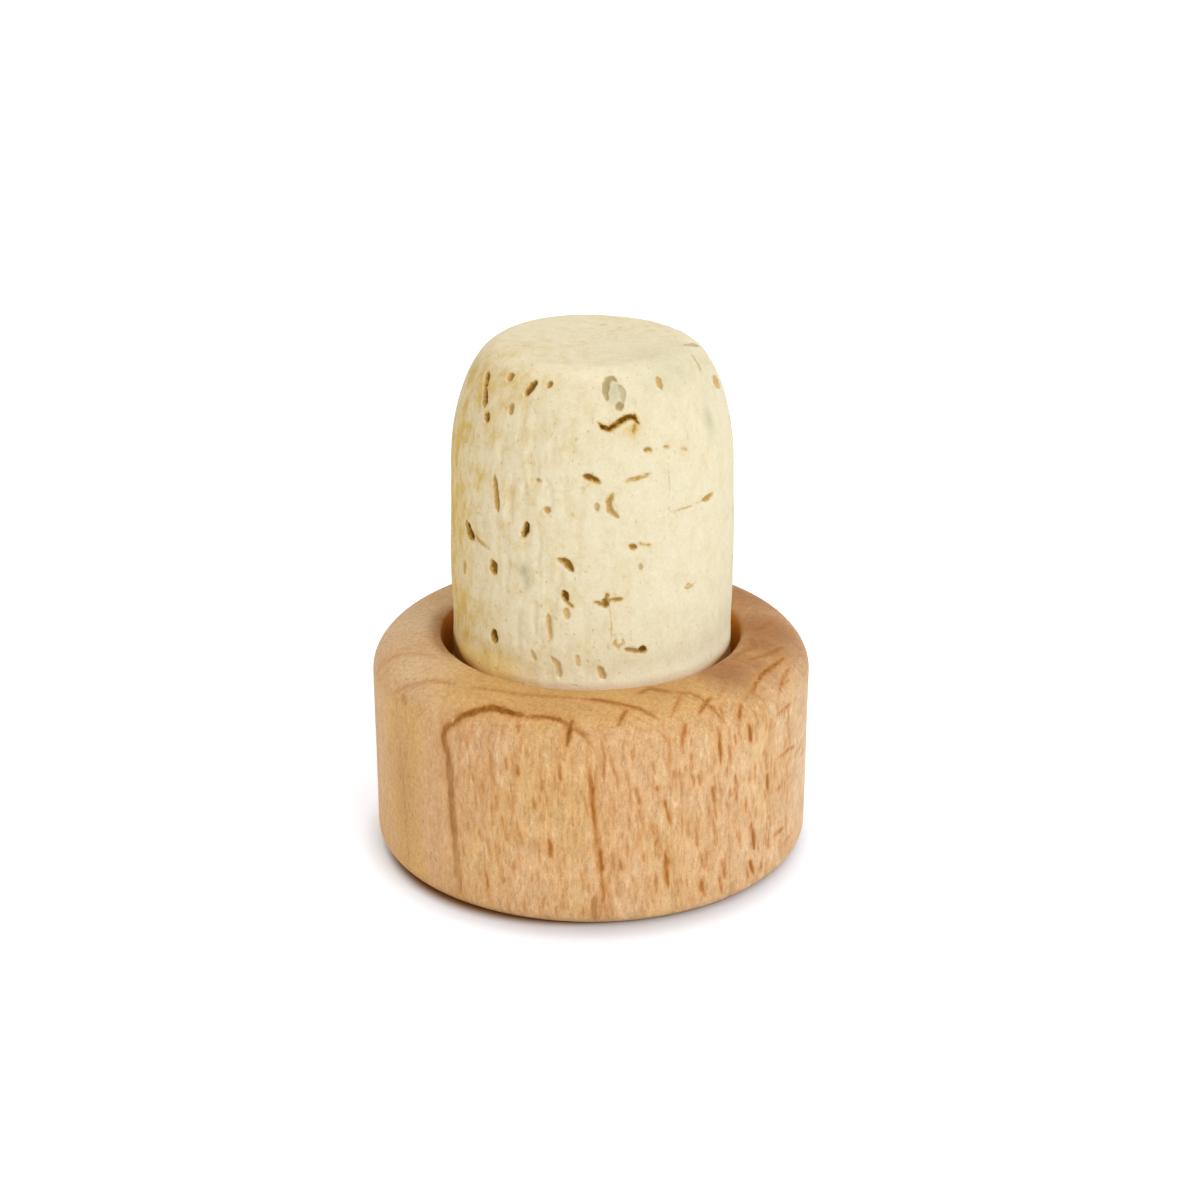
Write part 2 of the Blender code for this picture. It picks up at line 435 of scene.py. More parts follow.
FRONT_MARKS = (
    Mark(((-64.5, 34.2), (-61, 33.9), (-58, 33.2)), 0.44, 0.32, 0.85),
    Mark(((-58.5, 33.4), (-56.5, 32.9), (-54.5, 32.3)), 0.48, 0.34, 0.95),
    oval(-51, 31.8, 0.66, 0.42, 7, 0.28, 0.9),
    oval(-45, 34.4, 0.50, 0.46, 12, 0.22, 0.6),
    oval(-38, 32.7, 0.75, 0.36, 3, 0.20, 0.45),
    Mark(((-28.5, 34.55), (-30, 34.2), (-32.5, 33.6)), 0.42, 0.32, 0.85),
    oval(-21, 34.4, 0.45, 0.30, -35, 0.20, 0.7),
    Mark(
        ((7.6, 33.6), (7.2, 34.1), (7.7, 34.5), (9.2, 34.78), (11.4, 34.82), (13.6, 34.6)),
        0.36, 0.10, 0.5, 0.8,
    ),
    Mark(((13.8, 34.5), (15.2, 34.2), (15.4, 33.9), (15.0, 33.55), (13.8, 33.3)), 0.28, 0.06, 0.15, 1),
    Mark(((14.8, 33.5), (13.0, 33.24), (11.2, 33.3)), 0.42, 0.12, 0.55, 0.8),
    Mark(
        ((3, 32.4), (5, 32.1), (8, 32.0), (13, 32.4), (16, 32.6), (19, 32.6), (21, 32.1)),
        0.34, 0.30, 1.0,
    ),
    Mark(((19.5, 32.3), (18, 31.5)), 0.20, 0.12, 0.6),
    oval(35.5, 34.2, 0.70, 0.34, -5, 0.12, 0.4),
    Mark(((79, 35.28), (84.5, 35.08), (93, 34.7)), 0.36, 0.12, 0.25, 0.8),
    Mark(((71, 34.95), (68.2, 34.33), (66.3, 33.9)), 0.24, 0.08, 0.1, 0.6),
    Mark(((73, 32.95), (78, 32.85), (83, 32.75)), 0.72, 0.16, 0.35),
    oval(24, 30.5, 0.72, 0.26, 78, 0.14, 0.7),
    oval(32.5, 30.5, 0.50, 0.20, 75, 0.10, 0.6),
    oval(41, 30.1, 0.60, 0.18, 72, 0.08, 0.45),
    Mark(((-3.5, 29.1), (0, 29.0), (4, 28.65)), 0.36, 0.26, 0.9),
    Mark(((13, 28.7), (19, 28.8), (24.5, 29.0)), 0.22, 0.12, 0.6),
    Mark(((-42, 28.4), (-41, 27.4), (-40, 25.9)), 0.36, 0.22, 0.65),
    oval(-21, 28.6, 0.50, 0.26, 74, 0.10, 0.5),
    Mark(((-61, 24.4), (-58.5, 23.95), (-55, 23.35)), 0.66, 0.36, 1.0),
    Mark(((-54, 23.8), (-50, 23.55), (-45, 23.3)), 0.22, 0.08, 0.4),
    Mark(((-25.8, 25.75), (-26.4, 25.2), (-28.2, 24.65)), 0.44, 0.36, 1.0),
    oval(-17.3, 26.7, 0.45, 0.40, 0, 0.14, 0.6),
    oval(2.4, 27.1, 0.60, 0.30, 0, 0.10, 0.4, 0.4),
    Mark(((9, 28.0), (7, 27.4), (7.5, 26.8), (11, 26.3)), 0.32, 0.18, 0.55),
    Mark(((49, 26.35), (53, 26.45), (56.5, 26.55)), 0.30, 0.14, 0.6),
    Mark(((33, 26.2), (41, 26.25), (49, 26.4)), 0.10, 0.04, 0.35),
    oval(-62, 21.1, 1.00, 0.36, 0, 0.14, 0.45),
    oval(-42.3, 22.1, 1.05, 0.50, 10, 0.30, 0.9),
    Mark(((-13.2, 23.5), (-9.5, 23.35), (-7, 22.7)), 0.42, 0.26, 0.85),
    oval(16.5, 24.3, 0.55, 0.34, 77, 0.20, 0.8),
    Mark(((18.5, 24.55), (21, 24.35), (24.5, 24.25)), 0.14, 0.06, 0.6),
    Mark(((-10.6, 21.4), (-10, 20.9), (-10, 20.6)), 0.46, 0.30, 0.95),
    Mark(((-9.7, 20.65), (-6.8, 20.3)), 0.20, 0.10, 0.7),
    oval(-9.4, 19.85, 0.72, 0.36, 8, 0.14, 0.3),
    Mark(((1, 20.75), (4, 20.55), (7, 20.6)), 0.22, 0.12, 0.75),
    oval(5.5, 20.6, 0.62, 0.48, 0, 0.24, 0.85),
    Mark(((5.5, 20.7), (9, 20.8), (12.5, 20.85)), 0.24, 0.14, 0.75),
    Mark(((5.8, 20.6), (6.3, 21.3)), 0.24, 0.12, 0.7),
    Mark(((39.5, 20.8), (41.5, 20.65), (44, 20.75), (41.5, 20.95), (39.5, 20.8)), 0.12, 0.05, 0.45),
    Mark(((-41.7, 17.75), (-41.4, 16.8)), 0.56, 0.36, 1.0),
    Mark(((-17.2, 19.7), (-16.5, 18.8), (-15.6, 17.8)), 0.24, 0.14, 0.3),
    Mark(((9.7, 18.1), (9.2, 17.75), (10.5, 17.5), (12.6, 17.8), (12, 18.15)), 0.20, 0.07, 0.45),
    Mark(((13, 17.35), (16, 17.2), (19, 17.05)), 0.30, 0.16, 0.7, 0.3),
    oval(20.3, 17.15, 0.60, 0.42, 80, 0.24, 1.0, 0.3),
    Mark(((-16, 16.75), (-13.2, 16.3), (-12, 15.3)), 0.38, 0.22, 0.12),
    oval(-5, 16.6, 0.80, 0.24, 5, 0.10, 0.2),
    Mark(((3, 16.25), (4, 15.8), (5.3, 15.3)), 0.40, 0.20, 0.35),
    oval(-23, 16.7, 0.75, 0.30, 23, 0.08, 0.3),
    oval(19.7, 22.9, 0.42, 0.26, 0, 0.08, 0.4, 0.5),
    Mark(((33, 29.9), (32.3, 28.0), (32, 26.3)), 0.07, 0.02, 0.0),
    Mark(((7, 20.4), (7.8, 19.3), (8, 18.1)), 0.08, 0.02, 0.1),
)

# Soft dents, which take no colour
DENTS = (
    Mark(((-11, 23.6), (-14, 21), (-17, 18.4)), 0.6, 0.12, 0),
    Mark(((-19.1, 28.9), (-16.5, 28.1), (-15.4, 26.6)), 0.6, 0.13, 0),
    Mark(((-24, 31.5), (-26, 30.2), (-25, 29.0)), 0.7, 0.11, 0),
    Mark(((-33, 29.0), (-34.5, 27.2), (-33, 25.4)), 0.7, 0.12, 0),
    Mark(((-37, 24.4), (-35.5, 22.6), (-36, 20.6)), 0.8, 0.12, 0),
    Mark(((-49, 27.5), (-51, 25.8), (-49.5, 24.6)), 0.7, 0.11, 0),
    Mark(((-29, 19.9), (-30.5, 18.2), (-29, 16.6)), 0.7, 0.12, 0),
    Mark(((-53, 21.8), (-52, 19.8), (-53.5, 18.0)), 0.8, 0.13, 0),
    Mark(((-4, 27.2), (-5.5, 25.6), (-4.5, 24.3)), 0.6, 0.07, 0),
    Mark(((-27, 28.6), (-27.5, 27.4), (-26, 26.4)), 0.5, 0.12, 0),
    Mark(((-20, 24.9), (-21.5, 23.4), (-20.5, 22.0)), 0.5, 0.12, 0),
    Mark(((-22, 20.6), (-23, 19.2), (-22, 18.0)), 0.5, 0.12, 0),
    Mark(((-44, 20.9), (-45.5, 19.6), (-44.5, 18.4)), 0.6, 0.12, 0),
    Mark(((-15, 31.6), (-16, 30.6), (-15.5, 29.8)), 0.5, 0.10, 0),
    Mark(((-38, 31.4), (-40, 30.2), (-39, 29.2)), 0.6, 0.11, 0),
)

# Soft patches: bearing, height, half width and half height in millimetres, lean and strength
GREY_AND_SHADE_PATCHES = (
    (-27, 22.4, 0.45, 0.55, 13, 1.0),
    (-25.5, 21.7, 0.30, 0.55, 5, 0.9),
    (58.5, 31.3, 0.5, 1.0, 5, 0.8),
    (62, 32.6, 1.1, 1.1, 0, 0.25),
    (11.4, 34.1, 0.45, 0.70, -8, 0.85),
    (72, 34.6, 1.6, 1.2, 0, 0.3),
    # Painted shade: dulls the brightly lighted shoulder at the right of the free end
    (48, 34.7, 2.8, 1.3, 0, 0.42),
)
TAN_PATCHES = (
    (-62, 33.6, 2.0, 1.8, 30, 0.8),
    (-76, 33.3, 1.0, 0.9, 20, 1.2),
    (-70, 35.0, 1.6, 0.6, 20, 0.6),
    (-71, 31.4, 0.5, 1.0, 10, 1.2),
    (-75, 28.6, 0.9, 1.2, 0, 1.3),
    (-52, 27.8, 0.9, 0.9, 0, 0.9),
    (-40, 33.9, 1.6, 1.1, 0, 0.6),
    (-74, 29.5, 2.4, 3.0, 0, 1.0),
    (-50, 30.6, 1.8, 1.8, 0, 0.4),
    (-78, 24.0, 3.2, 7.5, 0, 1.25),
    (-100, 20.0, 2.4, 5.0, 0, 0.6),
    (-118, 27.0, 1.8, 3.6, 0, 0.5),
    (-60, 22.0, 1.2, 2.0, 0, 0.45),
    (-68, 17.5, 2.8, 2.8, 0, 1.2),
    (17.5, 31.8, 0.5, 0.4, 0, 1.2),
    (-66, 16.9, 0.35, 1.0, 0, 1.8),
    (-73, 19.2, 0.40, 0.9, 0, 1.6),
    (-80, 27.0, 0.6, 1.2, 0, 2.2),
    (-42, 15.6, 2.4, 1.3, 0, 0.8),
    (-24, 15.3, 1.9, 0.9, 0, 0.5),
    (-33, 27.5, 1.2, 1.2, 0, 0.25),
    (-10, 24.6, 1.0, 0.8, 0, 0.2),
)


def back_lean(chance, bearing, upright, level):
    """A mark's lean where the photograph doesn't show it, drawn from one of two (low, high) ranges."""
    end_on = abs(math.cos(math.radians(bearing - CHANNEL_BEARING))) > 0.7
    return chance.uniform(*upright) if end_on else chance.uniform(*level)


def back_marks():
    """Pores for the side that the photograph doesn't show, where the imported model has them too.

    Where the bark's channels leave the shank end on, they show as short upright pits. Where they run across
    it, they show as level slits. The smaller slits between them are only here.
    """
    chance = random.Random(19)
    radius = (CORK_HIGH.x - CORK_LOW.x) / 2 / MM
    spots, marks = [], []
    while len(marks) < BACK_PORES:
        bearing = chance.uniform(102, 282)
        height = RIM + chance.uniform(0.05, 0.9) * (FREE_END - RIM)
        size = BACK_PORE_LENGTH * chance.uniform(0.6, 1.6)
        lean = back_lean(chance, bearing, (-18, 18), (67, 103))
        spot = Vector((math.radians(bearing) * radius, height))
        if any((spot - other).length < BACK_PORE_SPACING for other in spots):
            continue
        spots.append(spot)
        tone = 0.35 + 0.06 * (len(marks) * 7 % 10)
        marks.append(oval(bearing, height, size, BACK_PORE_WIDTH, lean, 0.10 + 0.2 * tone, tone))
    chance = random.Random(7)
    for _ in range(SMALL_BACK_PORES):
        bearing = chance.uniform(75, 290)
        height = chance.uniform(15.5, 34)
        lean = back_lean(chance, bearing, (-25, 25), (70, 100))
        size, width = chance.uniform(0.35, 1.1), chance.uniform(0.12, 0.26)
        marks.append(oval(bearing, height, size, width, lean, SMALL_PORE_DEPTH, chance.uniform(0.2, 0.6)))
    return marks


def cut_pores(cork, points):
    """Depth of the pores at each point of the shank, and what its material reads of them.

    A pore's core is its darkest part: the pore's own dark brown, with painted shade. It lies a little to the
    right of and above the middle, on the side that the light doesn't reach.
    """
    depth = np.zeros(len(points))
    edge, core = np.ones((2, len(points)))
    tone, grey = np.zeros((2, len(points)))
    for mark in (*FRONT_MARKS, *back_marks()):
        width = MARK_SWELL * mark.width
        path = trace(on_cork, cork, mark.path)
        near = near_path(points, path, width)
        around = points[near]
        bearing = bearing_of(path.mean(0)[None])[0]
        # The core is moved towards the side away from the light, as painted shade
        shift = 0.10 * width * (facing(bearing + 90) + np.array((0, 0, 0.9)))
        ragged = 0.16 * width * ripple(around, (0.4, 0.4, 0.4), 3.7)
        gap = taper_distance(around, path, width) + ragged
        depth[near] = np.maximum(depth[near], smooth_step(gap, 0.04, -0.42 * width) * mark.depth)
        closer = gap < edge[near]
        found = near[closer]
        edge[found] = gap[closer]
        core[found] = (taper_distance(around - shift, path, width) + ragged)[closer]
        tone[found] = mark.tone
        grey[found] = mark.grey
    return depth, {"pore_edge": edge, "pore_core": core, "pore_tone": tone, "pore_grey": grey}


def crevice_shade_share(bearing):
    """How strongly the painted shade in the gap round the cork shows at a bearing: fully at the sides, not
    in front or behind.
    """
    sides = np.maximum(smooth_step(bearing, 34, 68), smooth_step(bearing, -40, -60))
    return sides * smooth_step(np.abs(bearing), 108, 98)


def bend_cork(points, bearing):
    """How far the shank is drawn in at its foot, on both sides, less how far it swells at the right."""
    height = points[:, 2]
    left = 0.28 * smooth_step(height, 20.5, 15) * smooth_step(np.abs(bearing + 88), 48, 8)
    right = 0.16 * smooth_step(height, 18.5, 14.6) * smooth_step(np.abs(bearing - 82), 50, 15)
    swell = 0.22 * smooth_step(np.abs(bearing - 80), 60, 15) * smooth_step(height, 16.5, 24)
    return left + right - swell * smooth_step(np.hypot(points[:, 0], points[:, 1]), 5.6, 7.4)


def wrinkle_cork(cork, points, bearing):
    """Depth of the shank's unevenness where it shows, and what its material reads of it."""
    height = points[:, 2]
    end_on = smooth_step(np.cos(np.radians(bearing - CHANNEL_BEARING)) ** 2, 0.25, 0.8)
    creased = end_on * smooth_step(height, FREE_END - 0.6, FREE_END - 3.9)
    wrinkle = smooth_step(ripple(points, (0.8, 0.8, 2.6), 8.9), 0.05, 0.75) * creased
    pitting = smooth_step(ripple(points, (0.42, 0.42, 0.6), 2.2), 0.25, 0.8) * creased
    uneven = 0.5 + 0.5 * ripple(points, (4.5, 4.5, 6.0), 11.3)
    rough = 0.5 + 0.5 * ripple(points, (0.7, 0.7, 1.1), 5.1)
    depth = 0.10 * uneven + (0.015 + 0.065 * end_on) * rough + 0.10 * wrinkle + 0.04 * pitting
    for dent in DENTS:
        gap = taper_distance(points, trace(on_cork, cork, dent.path), dent.width)
        depth += dent.depth * smooth_step(gap, 0.1, -dent.width / 2)
    showing = smooth_step(height, RIM - 0.8, RIM + 0.5)
    return showing * depth, {"wrinkle": wrinkle, "pitting": pitting, "end_on": end_on}


def weather_cork(cork, mesh):
    """Works the pores and the unevenness of a sanded cork into its mesh, and paints its marks, with painted
    shade in the gap at its foot and painted light just above the head.
    """
    points, normals = read_points(mesh)
    bearing, height = bearing_of(points), points[:, 2]
    pores, pore_coats = cut_pores(cork, points)
    relief, relief_coats = wrinkle_cork(cork, points, bearing)
    sink(mesh, points, normals, pores + relief + bend_cork(points, bearing))
    # Painted light: the cork is made paler just above the head in front, where it would be in shade, and a
    # little paler on its free end
    foot = smooth_step(height, RIM + 1.4, RIM - 0.1) * smooth_step(bearing, -58, -20)
    end = 0.3 * smooth_step(height, FREE_END - 1.2, FREE_END - 0.3)
    left = smooth_step(bearing, -84, -66) * smooth_step(bearing, -16, -40)
    # Painted shade: the cork's foot is painted dark in the gap round it, at the left up to about 0.3 mm
    # above the rim
    start = RIM - 0.05 + 0.4 * smooth_step(bearing, -60, -78)
    crevice = smooth_step(height, start, start - 0.8) * smooth_step(height, RIM - 2, RIM - 1.4)
    paint(mesh, pore_coats | relief_coats)
    paint(mesh, {
        "clean": np.maximum(foot, end),
        # Partly the cork's own yellow-tan, partly painted light that lifts the shade at the left of the foot
        "warm_foot": smooth_step(height, RIM + 1.6, RIM - 0.1) * left,
        "crevice": crevice * crevice_shade_share(bearing),
        "bloom": soft_patches(on_cork, cork, points, GREY_AND_SHADE_PATCHES),
        "tanned": soft_patches(on_cork, cork, points, TAN_PATCHES),
    })


# Beech

HEAD_COLUMNS = 620
HEAD_SPACING = 0.15 * MM
HEAD_BUNCHING = 0.28

# Bearing of the bark side, across the growth rings. The grain runs along Z.
BARK_BEARING = -20

# Distance of each year's end from the head's axis towards the bark, in millimetres
MAIN_END = 13.9
RING_ENDS = (-15.4, -12.6, -9.5, -6.7, -3.6, -0.7, 2.3, 5.1, 8.05, 11.2, MAIN_END, 16.9)

# The places that the year's end at MAIN_END runs through, which makes the arch in front
MAIN_ARCH = (
    (-35.5, 1.6), (-36, 4.2), (-37, 5.8), (-37.5, 7.2), (-38, 9), (-38.5, 10.6), (-39.5, 12.2),
    (-37, 13.1), (-32.5, 14.07), (-28, 14.42), (-22.5, 14.36), (-16, 14.31), (-11, 14.38), (-5.5, 14.02),
    (-1.5, 13.65), (0, 11), (1, 7), (2, 5), (3, 2),
)


class Stroke(NamedTuple):
    """A thin dark mark on the head: its places, its width in millimetres and how dark it is."""

    path: tuple
    width: float
    tone: float


# The flecks that the photograph shows: the beech's rays, each seen on its edge
FRONT_FLECKS = (
    Stroke(((33, 13.3), (33.5, 12), (34, 10.4)), 0.34, 0.95),
    Stroke(((31.5, 9.2), (32.5, 7.7)), 0.32, 0.85),
    Stroke(((31.5, 7.4), (33, 4.6)), 0.26, 0.6),
    Stroke(((43, 12.8), (44, 11.3)), 0.42, 1.0),
    Stroke(((43.5, 13.94), (41.5, 13.6), (40, 13.1)), 0.32, 0.85),
    Stroke(((40, 13.6), (39.5, 12.2)), 0.26, 0.6),
    Stroke(((50.5, 8.5), (51.5, 7.1)), 0.36, 0.85),
    Stroke(((45, 5.3), (46.5, 3.1)), 0.40, 0.95),
    Stroke(((44.5, 2.6), (46.5, 1.3)), 0.38, 0.9),
    Stroke(((38.5, 9.6), (39.5, 8.4)), 0.32, 0.6),
    Stroke(((22, 11), (23, 9)), 0.28, 0.55),
    Stroke(((27.5, 10.4), (28, 9.4)), 0.30, 0.6),
    Stroke(((18, 9), (20, 7)), 0.30, 0.75),
    Stroke(((18.5, 5.3), (19.5, 2.4)), 0.34, 0.95),
    Stroke(((0, 11.1), (1, 7)), 0.26, 1.0),
    Stroke(((2, 5.9), (3, 4.1)), 0.32, 0.95),
    Stroke(((11.5, 9.6), (12, 8.8)), 0.26, 0.75),
    Stroke(((11.5, 7.6), (11.5, 5.6)), 0.14, 0.5),
    Stroke(((10.5, 12.9), (10, 12)), 0.24, 0.6),
    Stroke(((2.5, 13.5), (3, 12.7), (3, 11.5), (3, 10.4)), 0.26, 0.55),
    Stroke(((19.5, 13.3), (19, 11.2)), 0.22, 0.75),
    Stroke(((25, 13.81), (23.5, 13.3), (22.5, 12.5)), 0.28, 0.85),
    Stroke(((28.5, 14.87), (24.5, 14.58), (21.5, 14.18)), 0.24, 0.6),
    Stroke(((66, 13.6), (61, 13.7), (57, 13.3)), 0.20, 0.4),
    Stroke(((63, 12.3), (59, 12.4), (54.5, 12.3)), 0.20, 0.85),
    Stroke(((66.5, 8.7), (62, 9), (56, 9)), 0.36, 0.6),
    Stroke(((60.5, 3.3), (55, 3.3)), 0.34, 0.7),
    Stroke(((58.5, 6.7), (55, 6.7)), 0.28, 0.55),
    Stroke(((52.5, 5.2), (52, 4.8)), 0.46, 0.35),
    Stroke(((46.5, 6.5), (46.5, 5.5)), 0.34, 0.35),
    Stroke(((35, 3.5), (36, 1.9)), 0.30, 0.7),
    Stroke(((30, 4.5), (30, 3)), 0.26, 0.65),
    Stroke(((28.5, 2.6), (29, 1.9), (30, 1.1)), 0.30, 0.8),
    Stroke(((7, 5), (7.5, 4.1)), 0.30, 0.65),
    Stroke(((16, 10.1), (16.5, 9.6)), 0.30, 0.7),
    Stroke(((36.5, 14.14), (35.5, 13.3)), 0.26, 0.6),
    Stroke(((15, 7.5), (15.5, 6.5)), 0.28, 0.6),
    Stroke(((16.5, 6.6), (16.5, 5.8)), 0.24, 0.6),
    Stroke(((9, 8.5), (9.5, 7)), 0.26, 0.5),
    Stroke(((6, 11.4), (6.5, 10.2)), 0.22, 0.5),
    Stroke(((24.5, 7.2), (25, 5.8)), 0.24, 0.45),
    Stroke(((36, 7.9), (36.5, 6.9)), 0.24, 0.4),
    Stroke(((14, 3.6), (14.5, 2.3)), 0.22, 0.4),
    Stroke(((-19.5, 14.2), (-18.5, 13.5)), 0.26, 0.6),
    Stroke(((-18.5, 11.6), (-18, 10.6)), 0.28, 0.7),
    Stroke(((-17.5, 13.3), (-18, 11.8)), 0.26, 0.35),
    Stroke(((-8, 11.9), (-7.5, 10.6)), 0.34, 0.7),
    Stroke(((-8.5, 13), (-8, 11.9)), 0.26, 0.35),
    Stroke(((-10.5, 6.4), (-10, 5)), 0.34, 0.9),
    Stroke(((-14.5, 9.3), (-14, 8.5)), 0.32, 0.5),
    Stroke(((-27.5, 3.4), (-26.5, 1.6)), 0.30, 0.6),
    Stroke(((-7, 2.6), (-7, 1.2)), 0.24, 0.55),
    Stroke(((-15, 3.9), (-15, 3.1)), 0.26, 0.4),
    Stroke(((-12, 10.7), (-12, 9.7)), 0.32, 0.4),
    Stroke(((-28, 9.8), (-27.5, 9.1)), 0.28, 0.5),
    Stroke(((-22.5, 7.6), (-22, 6.4)), 0.24, 0.35),
    Stroke(((-25.5, 12.2), (-25, 11.2)), 0.26, 0.35),
    Stroke(((-5, 8.6), (-4.5, 7.4)), 0.24, 0.35),
    Stroke(((-29, 6.3), (-28.5, 5.4)), 0.24, 0.35),
    Stroke(((-58.5, 13.4), (-54.5, 13)), 0.50, 0.25),
)

# The dark lines in front and on top: the arch with its two legs, fainter years' ends and a few slashes
FRONT_LINES = (
    Stroke(
        ((-37.5, 13), (-35, 13.75), (-32.5, 14.07), (-28, 14.42), (-22.5, 14.36), (-17.5, 14.3)),
        0.54, 1.0,
    ),
    Stroke(((-18, 14.29), (-11, 14.38), (-8.5, 14.31), (-4.5, 13.95)), 0.34, 0.85),
    Stroke(((-5, 14), (-1, 13.6)), 0.40, 0.55),
    Stroke(((-37.5, 13.3), (-39, 12.7), (-39.5, 12), (-39, 11)), 0.46, 0.8),
    Stroke(((-39.5, 12.6), (-38, 10.6), (-37.5, 9), (-37, 6)), 0.62, 0.64),
    Stroke(((-38, 9.4), (-37, 5.8), (-36, 3.4)), 0.58, 0.66),
    Stroke(((-36.5, 5.8), (-36, 3.2), (-35.5, 0.8)), 0.46, 0.45),
    Stroke(((57, 15), (64, 15), (72, 14.97), (80, 15)), 0.60, 0.35),
    Stroke(((61, 14.93), (68, 14.8), (74, 14.66), (79, 14.5)), 0.45, 0.45),
    Stroke(((84, 15), (90, 14.93), (96, 14.75)), 0.60, 0.30),
    Stroke(((-1, 13.4), (-0.5, 11.4), (1, 7), (1.5, 6.1), (2.5, 4.4), (3, 2.2), (2, 0.6)), 0.20, 0.75),
    Stroke(((1, 2.4), (0.5, 1.4), (1, 0.4)), 0.44, 0.65),
    Stroke(((-62, 13.1), (-57.5, 13.99), (-51.5, 14.6), (-44, 14.75)), 0.40, 0.30),
    Stroke(((-40, 14.8), (-22, 14.93), (-3.5, 14.95)), 0.40, 0.35),
    Stroke(((-3.5, 14.95), (3, 14.92), (9, 14.82), (14, 14.63), (17.5, 14.25)), 0.36, 0.75),
    Stroke(((15, 14.98), (20, 15), (26, 14.92)), 0.50, 0.50),
    Stroke(((27, 14.91), (31, 14.82), (33, 14.54), (34.5, 13.95), (35, 13.2)), 0.28, 0.6),
    Stroke(((36, 14.56), (33, 14.4), (29.5, 14.11)), 0.30, 0.9),
    Stroke(((10.5, 14.68), (8.5, 14.46), (7, 14.06)), 0.30, 0.85),
    Stroke(
        ((73.5, 14.34), (68, 14.42), (63, 14.5), (57.5, 14.49), (52.5, 14.35), (48.5, 14.1)),
        0.28, 0.95,
    ),
    Stroke(((70, 13.95), (63, 13.86), (58.5, 13.6)), 0.24, 0.6),
    Stroke(((-5, 14.35), (-5.5, 13.8), (-6, 13)), 0.36, 1.0),
    Stroke(((-77.5, 13.2), (-75.5, 14.1), (-72, 14.73), (-67, 14.91), (-62, 14.98)), 0.30, 0.25),
)


# How many short streaks fill the front, and how many rays the rest of the head has
FRONT_STREAKS = 260
OTHER_RAYS = 125

# A ray's lean from the grain, as a slope, and how far past its edge it counts, in millimetres
RAY_SLOPE = 0.035
RAY_MARGIN = 0.6


def front_streaks():
    """Short thin streaks that fill the front between its flecks, darker at the right."""
    chance = random.Random(5)
    streaks = []
    for _ in range(FRONT_STREAKS):
        bearing = chance.uniform(-36, 62)
        height = chance.uniform(0.8, 13.4)
        size = chance.uniform(0.6, 1.8)
        drift = chance.uniform(-0.1, 0.9) * size
        path = ((bearing, height + size / 2), (bearing + drift, height - size / 2))
        lively = 1.0 if bearing < 15 else 1.4
        streaks.append(Stroke(path, chance.uniform(0.14, 0.24), lively * chance.uniform(0.15, 0.55)))
    return streaks


class Ray(NamedTuple):
    """A sheet of ray cells in the beech: where it meets the surface, and its size in millimetres.

    Height is how far it runs along the grain, and thickness is across it. Depth is how far it runs in
    towards the pith. Tone is how dark it looks.
    """

    bearing: float
    level: float
    height: float
    thickness: float
    depth: float
    tone: float


# A small chip at the foot: its bearing and height, and its radius in millimetres
CHIP_PLACE = (36.5, 0.35)
CHIP_RADIUS = 0.35

# Soft patches of the wood, laid out as those of the cork are
STAIN_PATCHES = (
    (88, 14.9, 4.2, 3.0, 0, 1.05),
    (118, 14.8, 4.5, 3.0, 0, 0.95),
    (76, 14.9, 2.8, 1.8, 0, 1.0),
    (86, 15.0, 1.2, 1.0, 0, 0.9),
    (60, 14.9, 2.2, 1.4, 0, 0.85),
    (50, 14.98, 2.6, 1.7, 0, 1.1),
    (25, 14.98, 3.4, 0.8, 0, 0.42),
    (-56, 7.0, 1.9, 6.5, 0, 0.42),
    (-8, 14.75, 4.4, 0.6, 0, 0.35),
    (-36, 14.75, 2.6, 0.5, 0, 0.2),
)
# The pale end grain round the recess, and painted light: a sheen down the right side, at 84 and 60 degrees,
# and light from the floor low in front, at 47 and 5 degrees
PALE_AND_LIGHT_PATCHES = (
    (-95, 14.95, 4.5, 3.0, 0, 1.0),
    (-60, 14.6, 4.0, 1.4, 0, 0.9),
    (84, 8.0, 5.0, 7.0, 0, 0.8),
    (-74, 8.0, 1.2, 6.0, 0, 0.25),
    (60, 12.0, 2.4, 3.0, 0, 0.45),
    (47, 3.5, 3.0, 3.0, 0, 0.32),
    (40, 10.0, 3.0, 3.5, 0, 0.38),
    (26, 9.0, 3.0, 4.5, 0, 0.2),
    (5, 2.0, 11.0, 3.5, 0, 0.14),
)


def head_profile(head):
    """From the recess's floor on the axis, up its wall, over the shoulder and down to the foot's middle."""
    radius = head.diameter / 2
    recess = head.recess_diameter / 2
    mouth, foot = head.mouth_round, head.foot_round
    shoulder_top = radius - head.shoulder_width
    wall_start = head.height - 3 * MM
    return [
        (0, head.recess_floor),
        *straight((recess, head.recess_floor), (recess, wall_start), MM),
        *straight((recess, wall_start), (recess, head.height - mouth), 3 * HEAD_SPACING),
        *arc((recess + mouth, head.height - mouth), mouth, mouth, 180, 90, HEAD_SPACING),
        *straight((recess + mouth, head.height), (shoulder_top, head.height), HEAD_SPACING),
        *arc(
            (shoulder_top, head.height - head.shoulder_height),
            head.shoulder_width,
            head.shoulder_height,
            90,
            0,
            HEAD_SPACING,
        ),
        *straight((radius, head.height - head.shoulder_height), (radius, foot), 1.15 * HEAD_SPACING),
        *arc((radius - foot, foot), foot, foot, 0, -90, HEAD_SPACING),
        *straight((radius - foot, 0), (0, 0), 0.8 * MM),
        (0, 0),
    ]


def wood_axes(points):
    """Each point's distance towards the bark and across the rays, in millimetres."""
    return points @ facing(BARK_BEARING), points @ facing(BARK_BEARING + 90)


